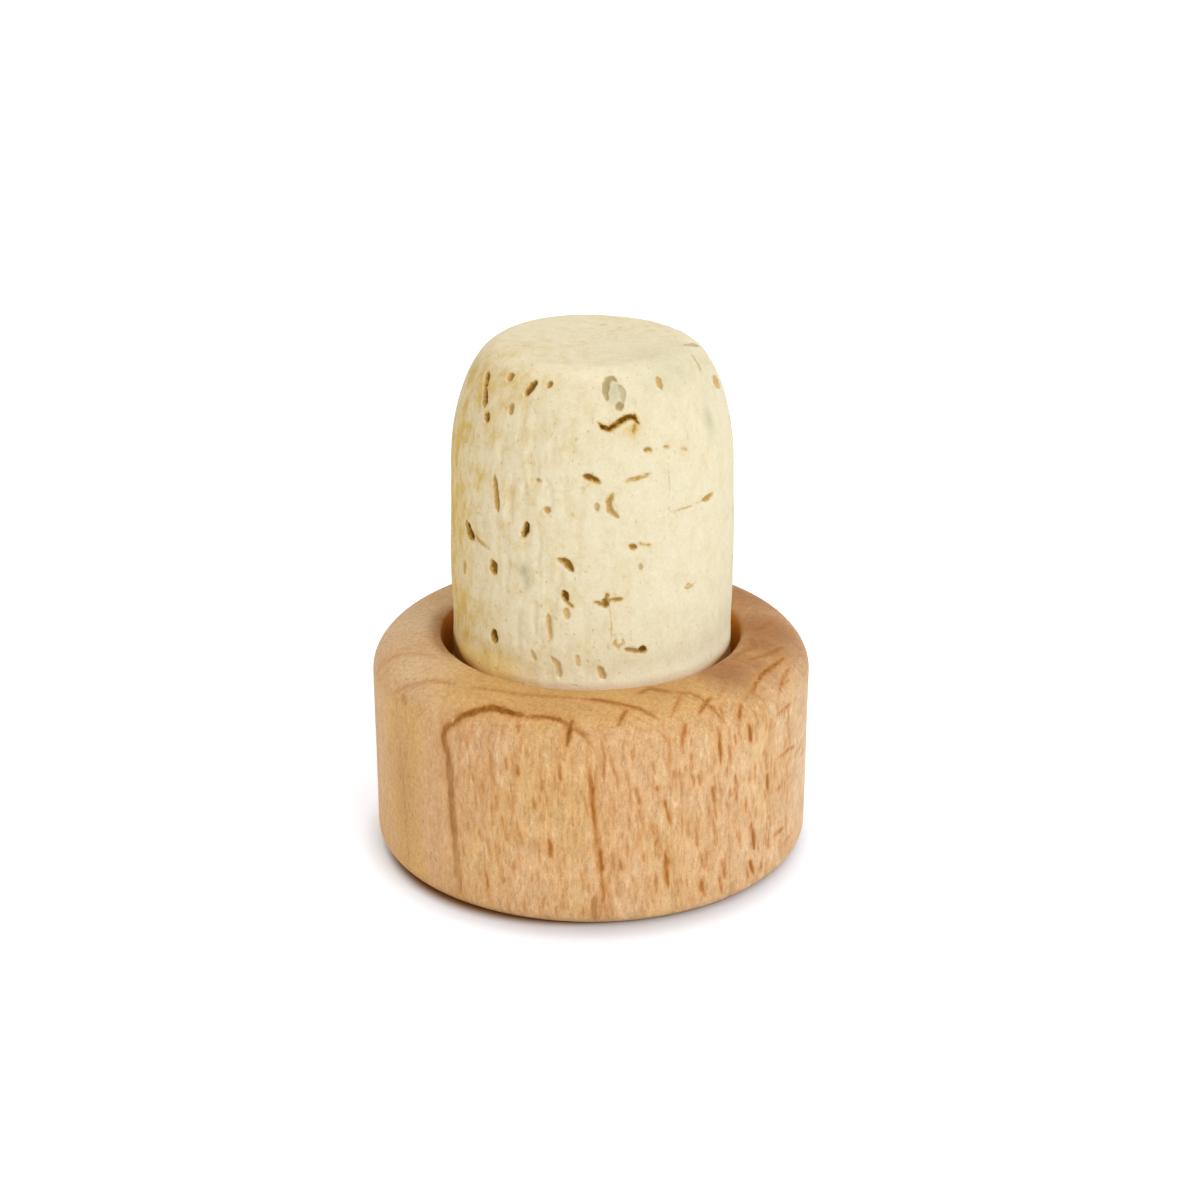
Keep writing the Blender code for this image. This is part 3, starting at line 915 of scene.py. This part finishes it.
def on_head(head, bearing, height):
    """The place on the head's outside at a bearing and a height, in millimetres."""
    start = (head.height - head.shoulder_height) / MM
    radius = head.diameter / 2 / MM
    up = (height - start) * MM / head.shoulder_height
    if up > 0:
        radius -= head.shoulder_width / MM * (1 - math.sqrt(max(0, 1 - up * up)))
    return facing(bearing) * radius + np.array((0, 0, height))


def other_rays():
    """Rays for the back and the right side, which the photograph doesn't show.

    Towards the bark and the pith they are tall and dark. Between, where they are cut along their length,
    they are low and pale.
    """
    chance = random.Random(31)
    rays = []
    while len(rays) < OTHER_RAYS:
        bearing = chance.uniform(-180, 180)
        level = chance.uniform(0.8, 14.6)
        if -98 < bearing < 62:
            continue
        across = abs(math.sin(math.radians(bearing - BARK_BEARING)))
        height = chance.uniform(0.7, 2.6) * (1 - 0.78 * across)
        tone = chance.uniform(0.3, 0.95) * (1 - 0.6 * across)
        thickness, depth = chance.uniform(0.15, 0.30), chance.uniform(1.2, 3.6)
        rays.append(Ray(bearing, level, height, thickness, depth, tone))
    return rays


def lay_rays(head, points):
    """(distance to the nearest ray's edge, tone) at each point of the head, from the rays at its back."""
    towards, across = wood_axes(points)
    edge = np.ones(len(points))
    tone = np.zeros(len(points))
    for ray in other_rays():
        centre = on_head(head, ray.bearing, ray.level)
        reach = max(ray.height, ray.depth) / 2 + RAY_MARGIN
        near = np.flatnonzero(np.linalg.norm(points - centre, axis=1) < reach)
        middle_towards, middle_across = wood_axes(centre[None])
        above = points[near, 2] - ray.level
        inward = (towards[near] - middle_towards) / (ray.depth / 2)
        sideways = np.abs(across[near] - middle_across - RAY_SLOPE * above)
        outside = inward**2 + (above / (ray.height / 2)) ** 2
        half = ray.thickness / 2 * np.sqrt(np.clip(1 - outside, 0, 1))
        past = np.clip(np.sqrt(outside) - 1, 0, None) * min(ray.height, ray.depth) / 2
        gap = np.hypot(sideways, past) - half
        closer = gap < edge[near]
        edge[near[closer]] = gap[closer]
        tone[near[closer]] = ray.tone
    return edge, tone


def draw_strokes(head, points, strokes, edge, tone):
    """Adds strokes to the (distance to the nearest mark's edge, tone) at each point of the head."""
    for stroke in strokes:
        path = trace(on_head, head, stroke.path)
        near = near_path(points, path, stroke.width)
        around = points[near]
        gap = taper_distance(around, path, stroke.width)
        gap += 0.14 * stroke.width * ripple(around, (0.35, 0.35, 0.9), 6.1)
        closer = gap < edge[near]
        edge[near[closer]] = gap[closer]
        tone[near[closer]] = stroke.tone


def arch_terms(across, height):
    """The terms of the gently bent sheet that a year's end is."""
    across, height = across / 5, (height - 8) / 7
    return np.stack([np.ones_like(across), across, height, across**2, height**2, across * height], axis=-1)


def year_of(head, points):
    """Each point's place in the years' growth: whole numbers are the ends of years.

    The years' ends bend as the one does whose arch the photograph shows.
    """
    seen = trace(on_head, head, MAIN_ARCH)
    seen_towards, seen_across = wood_axes(seen)
    sheet = np.linalg.lstsq(arch_terms(seen_across, seen[:, 2]), seen_towards, rcond=None)[0]
    towards, across = wood_axes(points)
    bend = arch_terms(np.clip(across, -6, 7), points[:, 2]) @ sheet
    near = smooth_step(towards, 4, 11)
    wave = (0.35 - 0.25 * near) * ripple(points, (5.0, 5.0, 14.0), 2.3)
    level = towards + wave - near * (bend - MAIN_END)
    return np.interp(level, RING_ENDS, np.arange(len(RING_ENDS)))


def stain_and_shade_head(head, points, bearing):
    """Where the head is stained, and the painted shade round the recess's mouth at its sides."""
    # Painted shade on the wood beside the gap round the cork, at the left and the right
    mouth_shade = smooth_step(bearing, 36, 52) * smooth_step(bearing, 104, 84)
    mouth_shade = np.maximum(mouth_shade, smooth_step(bearing, -52, -68) * smooth_step(bearing, -116, -98))
    radius = np.hypot(points[:, 0], points[:, 1])
    mouth_shade *= 0.75 * smooth_step(radius, 11.5, 10.5) * smooth_step(points[:, 2], RIM - 1, RIM - 0.4)
    return np.maximum(soft_patches(on_head, head, points, STAIN_PATCHES), mouth_shade)


def yellow_head(points, bearing):
    """Where the head is yellower: on top in front, and in a wavy band down its left side."""
    height = points[:, 2]
    top = smooth_step(height, RIM - 1.4, RIM - 0.3) * smooth_step(np.abs(bearing + 5), 65, 30)
    wavy = bearing + 4 * ripple(points, (3, 3, 4), 7.7)
    band = smooth_step(wavy, -68, -61) * smooth_step(wavy, -45, -52)
    return np.maximum(top, band * smooth_step(height, RIM - 0.6, RIM - 3))


def calm_head(height, bearing):
    """Where the wood's figure is faint: on the left side and on top."""
    left = smooth_step(bearing, -37, -46) * smooth_step(bearing, -125, -100)
    top = 1 - 0.7 * smooth_step(np.abs(bearing - 80), 60, 30)
    return np.maximum(left, top * smooth_step(height, RIM - 0.7, RIM - 0.2))


def weather_head(head, mesh):
    """Works the sanded unevenness of the turned head into its mesh, and paints its grain, with painted shade
    round the recess's mouth and painted light on its right side and low in front.
    """
    points, normals = read_points(mesh)
    bearing, height = bearing_of(points), points[:, 2]
    radius = np.hypot(points[:, 0], points[:, 1])
    ray_edge, ray_tone = lay_rays(head, points)
    draw_strokes(head, points, (*front_streaks(), *FRONT_FLECKS), ray_edge, ray_tone)
    arch_edge, arch_tone = np.ones(len(points)), np.zeros(len(points))
    draw_strokes(head, points, FRONT_LINES, arch_edge, arch_tone)
    chip = np.linalg.norm(points - on_head(head, *CHIP_PLACE), axis=1) - CHIP_RADIUS

    outside = smooth_step(radius, 10.5, 11.5) * smooth_step(height, 0.0, 1.2)
    uneven = 0.5 + 0.5 * ripple(points, (5.0, 5.0, 7.0), 4.4)
    fibre = 0.5 + 0.5 * ripple(points, (0.35, 0.35, 2.6), 9.2)
    depth = outside * (0.035 * uneven + 0.007 * fibre)
    mouth = smooth_step(radius, 11.2, 10.5) * smooth_step(height, RIM - 1.5, RIM - 0.2)
    depth += 0.07 * mouth * (0.5 + 0.5 * ripple(points, (0.8, 0.8, 0.8), 1.9))
    depth += 0.02 * smooth_step(ray_edge, 0.03, -0.08) * ray_tone + 0.12 * smooth_step(chip, 0.0, -0.3)
    sink(mesh, points, normals, depth)

    inside = smooth_step(radius, 10.6, 10.35) * smooth_step(height, RIM - 0.05, RIM - 0.5)
    paint(mesh, {
        "year": year_of(head, points),
        "ray_edge": ray_edge,
        "ray_tone": ray_tone,
        "arch_edge": arch_edge,
        "arch_tone": arch_tone,
        "inside": np.where(height > 5, inside, 0),
        "calm": calm_head(height, bearing),
        "chip": smooth_step(chip, 0.05, -0.2),
        "stain": stain_and_shade_head(head, points, bearing),
        "honey": yellow_head(points, bearing),
        "pale": soft_patches(on_head, head, points, PALE_AND_LIGHT_PATCHES),
    })


# Shader sums


class Value:
    """A shader socket. Python's arithmetic on it adds Math nodes."""

    def __init__(self, recipe, socket):
        self.recipe = recipe
        self.socket = socket

    def __add__(self, other):
        return self.recipe.math("ADD", self, other)

    def __sub__(self, other):
        return self.recipe.math("SUBTRACT", self, other)

    def __rsub__(self, other):
        return self.recipe.math("SUBTRACT", other, self)

    def __mul__(self, other):
        return self.recipe.math("MULTIPLY", self, other)

    def __truediv__(self, other):
        return self.recipe.math("DIVIDE", self, other)

    __radd__ = __add__
    __rmul__ = __mul__


class Recipe:
    """A material under construction: its Principled shader and the nodes that feed it."""

    def __init__(self, name):
        self.material = bpy.data.materials.new(name)
        self.material.use_nodes = True
        self.tree = self.material.node_tree
        self.shader = self.tree.nodes["Principled BSDF"]
        self.base = None

    def add(self, kind, settings, inputs, output=0):
        """Adds a node, makes its settings, fills or links its sockets, and returns one of its outputs."""
        node = self.tree.nodes.new(kind)
        for setting, choice in settings.items():
            setattr(node, setting, choice)
        self.fill(node, inputs)
        return Value(self, node.outputs[output])

    def fill(self, node, inputs):
        """Gives sockets, by name or by place, their values or links."""
        for socket, value in inputs.items():
            if isinstance(value, Value):
                self.tree.links.new(value.socket, node.inputs[socket])
            else:
                node.inputs[socket].default_value = value

    def math(self, operation, first, second=0.0):
        return self.add("ShaderNodeMath", {"operation": operation}, {0: first, 1: second})

    def ramp(self, value, low, high):
        """0 at low, 1 at high and a smooth rise between them."""
        settings = {"interpolation_type": "SMOOTHSTEP"}
        return self.add("ShaderNodeMapRange", settings, {"Value": value, "From Min": low, "From Max": high})

    def blend(self, share, first, second, kind="MIX"):
        """Mixes two colours."""
        settings = {"data_type": "RGBA", "blend_type": kind}
        return self.add("ShaderNodeMix", settings, {0: share, 6: solid(first), 7: solid(second)}, 2)

    def coat(self, share, tone):
        """Lays a colour over the base colour."""
        self.base = self.blend(share, self.base, tone)

    def shade(self, amount):
        """Makes the base colour lighter or darker."""
        grey = self.add("ShaderNodeCombineColor", {}, {0: amount, 1: amount, 2: amount})
        self.base = self.blend(1.0, self.base, grey, "MULTIPLY")

    def painted(self, name):
        """A number stored on the mesh's points."""
        return self.add("ShaderNodeAttribute", {"attribute_name": name}, {}, "Fac")

    def place(self, turned=0.0):
        """The point in the piece's own millimetres, turned about Z so that X lies at a bearing past +X."""
        point = self.add("ShaderNodeTexCoord", {}, {}, "Object")
        inputs = {"Vector": point, "Rotation": Euler((0, 0, -math.radians(turned))), "Scale": (1 / MM,) * 3}
        return self.add("ShaderNodeMapping", {"vector_type": "POINT"}, inputs)

    def grain(self, place, size, detail=2.0, roughness=0.5, shift=0.0):
        """Noise from 0 to 1 whose waves have the given (x, y, z) size in millimetres."""
        stretch = tuple(1 / s for s in size)
        inputs = {0: place, 1: stretch, 2: (shift,) * 3}
        scaled = self.add("ShaderNodeVectorMath", {"operation": "MULTIPLY_ADD"}, inputs)
        inputs = {"Vector": scaled, "Scale": 1.0, "Detail": detail, "Roughness": roughness}
        return self.add("ShaderNodeTexNoise", {"noise_dimensions": "3D"}, inputs)

    def finish(self, roughness, height, relief):
        """Feeds the shader its base colour, its roughness and a relief of the given depth in metres."""
        inputs = {"Strength": 1.0, "Distance": relief, "Height": height}
        normal = self.add("ShaderNodeBump", {}, inputs)
        self.fill(self.shader, {"Base Color": self.base, "Roughness": roughness, "Normal": normal})
        return self.material


def solid(tone):
    """A colour with full alpha, or a shader socket as it is."""
    return tone if isinstance(tone, Value) else (*tone, 1.0)


def beech_material(head):
    """Sanded beech: years' ends, fine vessels, long fibres and the brown flecks of its rays."""
    wood = Recipe("beech")
    place = wood.place(BARK_BEARING)
    fibre = wood.grain(place, (0.22, 0.22, 0.8), 4.0, 0.75)
    clump = wood.grain(place, (0.50, 0.65, 1.5), 3.0, 0.65, 51.0)
    sand = wood.grain(place, (0.11, 0.11, 0.13), 1.0, 0.5, 61.0)
    streak = wood.grain(place, (0.5, 0.9, 5.0), 2.0, 0.5, 4.0)
    patch = wood.grain(place, (6.0, 5.0, 12.0), 2.0, 0.5, 9.0)
    vessel = wood.grain(place, (0.16, 0.16, 0.6), 2.0, 0.5, 17.0)
    sheet = wood.grain(place, (0.28, 1.8, 1.2), 5.0, 0.72, 23.0)
    gleam = wood.grain(place, (0.40, 0.8, 1.15), 3.0, 0.6, 41.0)
    mottle = wood.grain(place, (0.9, 1.4, 1.8), 3.0, 0.6, 31.0)
    speckle = wood.grain(place, (0.26, 0.26, 0.26), 3.0, 0.7, 71.0)

    share = wood.math("FRACT", wood.painted("year"))
    late = wood.ramp(share, 0.45, 1.0) * wood.ramp(share, 1.0, 0.97)
    line = wood.ramp(share, 0.93, 0.985) * wood.ramp(share, 1.0, 0.99)
    calm = wood.painted("calm")
    lively = 1 - calm * 0.5
    wood.base = wood.blend(wood.ramp(patch, 0.35, 0.65), head.light, head.rosy)
    wood.coat(late * 0.25 + wood.ramp(streak, 0.4, 0.75) * (0.5 - calm * 0.2), head.dark)
    wood.coat(wood.ramp(mottle, 0.40, 0.75) * 0.6 * lively, head.dark)
    wood.coat(wood.ramp(gleam, 0.50, 0.72) * 0.50 * lively, head.pale)
    # Pale end grain, and painted light on the right side and low in front
    wood.coat(wood.painted("pale") * 0.9, head.pale)
    wood.coat(wood.painted("honey") * 0.5, head.honey)
    # Stains, and painted shade round the recess's mouth
    wood.coat(wood.painted("stain"), head.stain)
    texture = fibre * 0.66 + clump * 0.50 + sand * 0.36 - 0.76
    wood.shade(1 + texture * (1 - calm * 0.7) + (speckle - 0.5) * (0.24 + calm * 0.5))
    pits = wood.ramp(vessel, 0.56, 0.72)
    wood.coat(pits * 0.3, head.fleck)
    wood.coat(wood.ramp(sheet, 0.46, 0.78) * (1 - calm * 0.9) * (0.48 - late * 0.20), head.fleck)
    wood.coat(line * (0.18 - calm * 0.09), head.line)

    fray = fibre * 0.36 - 0.18
    arch_edge = wood.painted("arch_edge") + fray + clump * 0.24 - 0.12
    ray_edge = wood.painted("ray_edge") + fray
    arch_tone = wood.painted("arch_tone")
    ray_tone = wood.painted("ray_tone")
    arch = wood.ramp(arch_edge, 0.14, -0.18) * arch_tone
    ray = wood.ramp(ray_edge, 0.10, -0.14) * ray_tone
    wood.coat(wood.ramp(arch_edge, 0.42, 0.0) * arch_tone * 0.45, head.warm)
    wood.coat(wood.ramp(ray_edge, 0.34, 0.0) * ray_tone * 0.45, head.warm)
    wood.coat(arch * (0.68 + wood.ramp(clump, 0.3, 0.7) * 0.55), head.line)
    wood.coat(ray * (0.55 + clump * 0.5 + sand * 0.3), head.fleck)
    wood.coat(wood.ramp(ray_edge, -0.03, -0.16) * ray_tone * 0.45, head.line)
    wood.coat(wood.painted("chip") * 0.6, head.chip)
    wood.coat(wood.painted("inside") * 0.9, head.recess)

    wood.fill(wood.shader, {"Specular IOR Level": 0.2})
    height = fibre * 0.6 - pits * 0.4 - ray * 0.6 - arch * 0.5
    return wood.finish(0.60 + fibre * 0.1, height, 0.04 * MM)


def cork_material(cork):
    """Sanded natural cork: cream with tan mottles, brown pores and a fine open grain."""
    bark = Recipe("natural_cork")
    place = bark.place()
    cells = bark.grain(place, (0.22, 0.22, 0.22), 3.0, 0.6)
    mottle = bark.grain(place, (0.9, 0.9, 1.3), 4.0, 0.65, 5.0)
    patch = bark.grain(place, (3.5, 3.5, 4.5), 2.0, 0.5, 13.0)
    speck = bark.grain(place, (0.30, 0.30, 0.42), 1.0, 0.5, 29.0)
    dust = bark.grain(place, (0.09, 0.09, 0.10), 1.0, 0.5, 37.0)
    end_on = bark.painted("end_on")

    tanned = bark.ramp(mottle, 0.40, 0.80) * (0.20 + end_on * 0.30) + bark.ramp(patch, 0.5, 0.75) * 0.08
    tanned = tanned + bark.painted("tanned") * (0.3 + bark.ramp(mottle, 0.25, 0.80) * 0.9)
    tanned = tanned + bark.painted("wrinkle") * 0.12 + bark.painted("pitting") * 0.14
    bark.base = bark.blend(tanned, cork.pale, cork.tan)
    # Painted light just above the head in front and on the free end
    bark.coat(bark.painted("clean") * 0.8, cork.clean)
    # The cork's yellow-tan, with painted light at the left of its foot
    bark.coat(bark.painted("warm_foot") * 0.9, cork.warm)
    bark.shade(0.91 + cells * 0.20 + dust * 0.12 - mottle * 0.14)
    bark.coat(bark.ramp(speck, 0.66, 0.78) * (0.15 + end_on * 0.3), cork.pore_tan)
    # Greyish patches, and painted shade on the shoulder at the right of the free end
    bark.coat(bark.painted("bloom") * 0.6, cork.bloom)

    fray = cells * 0.14 - 0.07
    edge = bark.painted("pore_edge") + fray
    core = bark.painted("pore_core") + cells * 0.36 - 0.18
    tone = bark.painted("pore_tone")
    grey = bark.painted("pore_grey")
    hole = bark.ramp(edge, 0.04, -0.06)
    bark.coat(bark.ramp(edge, 0.20, -0.02) * tone * 0.38, cork.pore_tan)
    # Painted highlight on the rim of each pore, on the side facing the light
    painted_rim_highlight = bark.ramp(bark.painted("pore_core") - bark.painted("pore_edge"), 0.02, 0.10)
    bark.coat(bark.ramp(edge, 0.22, 0.06) * painted_rim_highlight * 0.35, cork.clean)
    bark.coat(hole * (0.5 + tone * 0.45), bark.blend(grey * 0.8, cork.pore_tan, cork.bloom))
    dark = bark.ramp(core, 0.03, -0.13) * hole
    bark.coat(dark * tone * tone, bark.blend(grey * 0.6, cork.pore_dark, cork.bloom_dark))
    # Painted shade in the gap round the cork's foot
    crevice = bark.painted("crevice") + fray * 1.5
    bark.coat(bark.ramp(crevice, 0.0, 0.6) * 0.6, cork.pore_tan)
    bark.coat(bark.ramp(crevice, 0.5, 0.9) * 0.75, cork.pore_dark)

    bark.fill(bark.shader, {"Specular IOR Level": 0.12})
    height = cells * 0.6 - hole * 0.8 - bark.ramp(speck, 0.62, 0.78) * 0.6 + mottle * (0.4 + end_on * 0.6)
    return bark.finish(0.80 + cells * 0.1, height, 0.05 * MM)


def glue_material(glue):
    """Dried wood glue: amber, slightly cloudy and uneven."""
    film = Recipe("dried_glue")
    cloud = film.grain(film.place(), (1.2, 1.2, 0.4), 2.0)
    film.base = film.blend(cloud, glue.tone, glue.cloud)
    return film.finish(0.35 + cloud * 0.2, cloud, 0.05 * MM)


# The floor's painted shadow under the stopper's left front: its middle, how far it is full and where it has
# faded
SHADE_MIDDLE = (-2.0 * MM, -2.45 * MM, 0)
SHADE_FULL = 11.35 * MM
SHADE_NONE = 12.65 * MM

# Where the floor far from the stopper starts to glow more, and where it does fully, in metres
FAR_GLOW = (0.1, 0.5)


def floor_material(stage):
    """A white floor with a painted shadow under the stopper's left front. Its slight glow keeps it white in
    soft shade, and stops short of the stopper.
    """
    floor = Recipe("white_floor")
    place = floor.add("ShaderNodeTexCoord", {}, {}, "Object")
    middle = (*stage.glow_middle, 0)
    away = {"operation": "DISTANCE"}
    radius = floor.add("ShaderNodeVectorMath", away, {0: place, 1: middle}, "Value")
    # Painted shadow: the floor darkens towards the stopper's left front
    under = floor.add("ShaderNodeVectorMath", away, {0: place, 1: SHADE_MIDDLE}, "Value")
    dark = floor.ramp(under, SHADE_NONE, SHADE_FULL)
    glow = floor.ramp(radius, stage.glow_start, stage.glow_full) * (1 - dark)
    glow = glow + floor.ramp(radius, *FAR_GLOW) * 0.5
    tone = floor.add("ShaderNodeCombineColor", {}, {0: glow * 0.95, 1: glow, 2: glow * 1.07})
    base = floor.blend(dark, stage.floor_tone, stage.shade_tone)
    floor.fill(floor.shader, {"Base Color": base, "Roughness": 0.9})
    floor.fill(floor.shader, {"Emission Color": tone, "Emission Strength": stage.floor_glow})
    return floor.material


# Operators


class StopperHead(bpy.types.Operator):
    """Makes the turned beech head"""

    bl_idname = "stopper.head"
    bl_label = "Wooden head"

    def execute(self, context):
        head = context.scene.stopper_head
        mesh = turn("beech_head", head_profile(head), HEAD_COLUMNS, HEAD_BUNCHING)
        weather_head(head, mesh)
        finish_piece(mesh, beech_material(head), "wooden_head")
        return {"FINISHED"}


class StopperCork(bpy.types.Operator):
    """Makes the cork shank with its pores"""

    bl_idname = "stopper.cork"
    bl_label = "Cork shank"

    def execute(self, context):
        cork = context.scene.stopper_cork
        mesh = turn("natural_cork_shank", cork_profile(cork), CORK_COLUMNS, CORK_BUNCHING)
        weather_cork(cork, mesh)
        finish_piece(mesh, cork_material(cork), "cork_shank")
        return {"FINISHED"}


class StopperGlue(bpy.types.Operator):
    """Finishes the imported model's own glue bed"""

    bl_idname = "stopper.glue"
    bl_label = "Glue bed"

    def execute(self, context):
        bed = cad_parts["glue_bed"]
        bed.data.materials.clear()
        bed.data.materials.append(glue_material(context.scene.stopper_glue))
        return {"FINISHED"}


# The lights: the name of each one's setting, its place and width in metres, and its tone
LIGHTS = (
    ("top", (0.05, 0.05, 0.55), 0.45, (1.0, 1.0, 1.0)),
    ("key", (0.26, -0.34, 0.36), 0.40, (1.0, 0.99, 0.97)),
    ("fill", (-0.42, -0.16, 0.16), 0.30, (1.0, 0.70, 0.36)),
)

# How far to the left and the right the sky's tone changes, where 1 is level with the stopper
SKY_TURN = (-0.8, 0.3)

# The photograph's view: its distance and height angle, the point it turns round, the point at the middle of
# its frame, and its lens and sensor width in millimetres
VIEW_DISTANCE = 160.7 * MM
VIEW_ELEVATION = 22.99
VIEW_PIVOT = Vector((0, 0, 16)) * MM
VIEW_AIM = Vector((0.62, 0.31, 16.74)) * MM
VIEW_LENS = 70.45
VIEW_SENSOR = 36.0


class StopperStage(bpy.types.Operator):
    """Sets up the floor, the lights and the camera"""

    bl_idname = "stopper.stage"
    bl_label = "Studio stage"

    def execute(self, context):
        stage = context.scene.stopper_stage
        context.scene.view_settings.view_transform = "Standard"
        self.add_floor(context, stage)
        self.add_sky(context, stage)
        for name, place, size, tone in LIGHTS:
            self.add_light(context, f"{name}_light", place, size, getattr(stage, name), tone)
        self.add_camera(context)
        return {"FINISHED"}

    def add_floor(self, context, stage):
        shape = bmesh.new()
        bmesh.ops.create_grid(shape, x_segments=1, y_segments=1, size=stage.floor_size / 2)
        rim = bmesh.ops.extrude_edge_only(shape, edges=shape.edges[:])["geom"]
        corners = [part for part in rim if isinstance(part, bmesh.types.BMVert)]
        bmesh.ops.translate(shape, verts=corners, vec=(0, 0, stage.rim))
        mesh = bpy.data.meshes.new("floor")
        shape.to_mesh(mesh)
        shape.free()
        mesh.materials.append(floor_material(stage))
        floor = bpy.data.objects.new("floor", mesh)
        context.scene.collection.objects.link(floor)

    def add_sky(self, context, stage):
        """Soft light from all round, warmer at the left."""
        world = bpy.data.worlds.new("studio")
        world.use_nodes = True
        nodes, links = world.node_tree.nodes, world.node_tree.links
        direction = nodes.new("ShaderNodeTexCoord")
        split = nodes.new("ShaderNodeSeparateXYZ")
        share = nodes.new("ShaderNodeMapRange")
        share.inputs["From Min"].default_value, share.inputs["From Max"].default_value = SKY_TURN
        tone = nodes.new("ShaderNodeMix")
        tone.data_type = "RGBA"
        tone.inputs[6].default_value = solid(stage.sky_left)
        tone.inputs[7].default_value = (1, 1, 1, 1)
        background = nodes["Background"]
        background.inputs["Strength"].default_value = stage.sky
        links.new(direction.outputs["Generated"], split.inputs[0])
        links.new(split.outputs["X"], share.inputs["Value"])
        links.new(share.outputs[0], tone.inputs[0])
        links.new(tone.outputs[2], background.inputs["Color"])
        context.scene.world = world

    def add_light(self, context, name, place, size, power, tone):
        lamp = bpy.data.lights.new(name, "AREA")
        lamp.shape = "DISK"
        lamp.size = size
        lamp.energy = power
        lamp.color = tone
        light = bpy.data.objects.new(name, lamp)
        light.location = place
        light.rotation_euler = (VIEW_PIVOT - light.location).to_track_quat("-Z", "Y").to_euler()
        context.scene.collection.objects.link(light)

    def add_camera(self, context):
        lens = bpy.data.cameras.new("camera")
        lens.lens = VIEW_LENS
        lens.sensor_width = VIEW_SENSOR
        lens.clip_start = 10 * MM
        camera = bpy.data.objects.new("camera", lens)
        elevation = math.radians(VIEW_ELEVATION)
        back = Vector((0, -math.cos(elevation), math.sin(elevation)))
        camera.location = VIEW_PIVOT + back * VIEW_DISTANCE
        camera.rotation_euler = (VIEW_AIM - camera.location).to_track_quat("-Z", "Y").to_euler()
        context.scene.collection.objects.link(camera)
        context.scene.camera = camera


class StopperPanel(bpy.types.Panel):
    """Lists the stopper's settings and the buttons that make its pieces"""

    bl_idname = "VIEW3D_PT_stopper"
    bl_label = "Bottle stopper"
    bl_space_type = "VIEW_3D"
    bl_region_type = "UI"
    bl_category = "Stopper"

    def draw(self, context):
        for group, _, maker in PARTS:
            box = self.layout.box()
            settings = getattr(context.scene, group)
            for name in settings.bl_rna.properties.keys():
                if name not in ("rna_type", "name"):
                    box.prop(settings, name)
            box.operator(maker.bl_idname)


# The name of each group of settings, its class and the operator that reads it
PARTS = (
    ("stopper_head", HeadSettings, StopperHead),
    ("stopper_cork", CorkSettings, StopperCork),
    ("stopper_glue", GlueSettings, StopperGlue),
    ("stopper_stage", StageSettings, StopperStage),
)


def register():
    for name, group, maker in PARTS:
        bpy.utils.register_class(group)
        bpy.utils.register_class(maker)
        setattr(bpy.types.Scene, name, PointerProperty(type=group))
    bpy.utils.register_class(StopperPanel)


def unregister():
    bpy.utils.unregister_class(StopperPanel)
    for name, group, maker in reversed(PARTS):
        delattr(bpy.types.Scene, name)
        bpy.utils.unregister_class(maker)
        bpy.utils.unregister_class(group)


def main():
    register()
    bpy.ops.stopper.head()
    bpy.ops.stopper.cork()
    bpy.ops.stopper.glue()
    bpy.ops.stopper.stage()


if __name__ == "__main__":
    main()
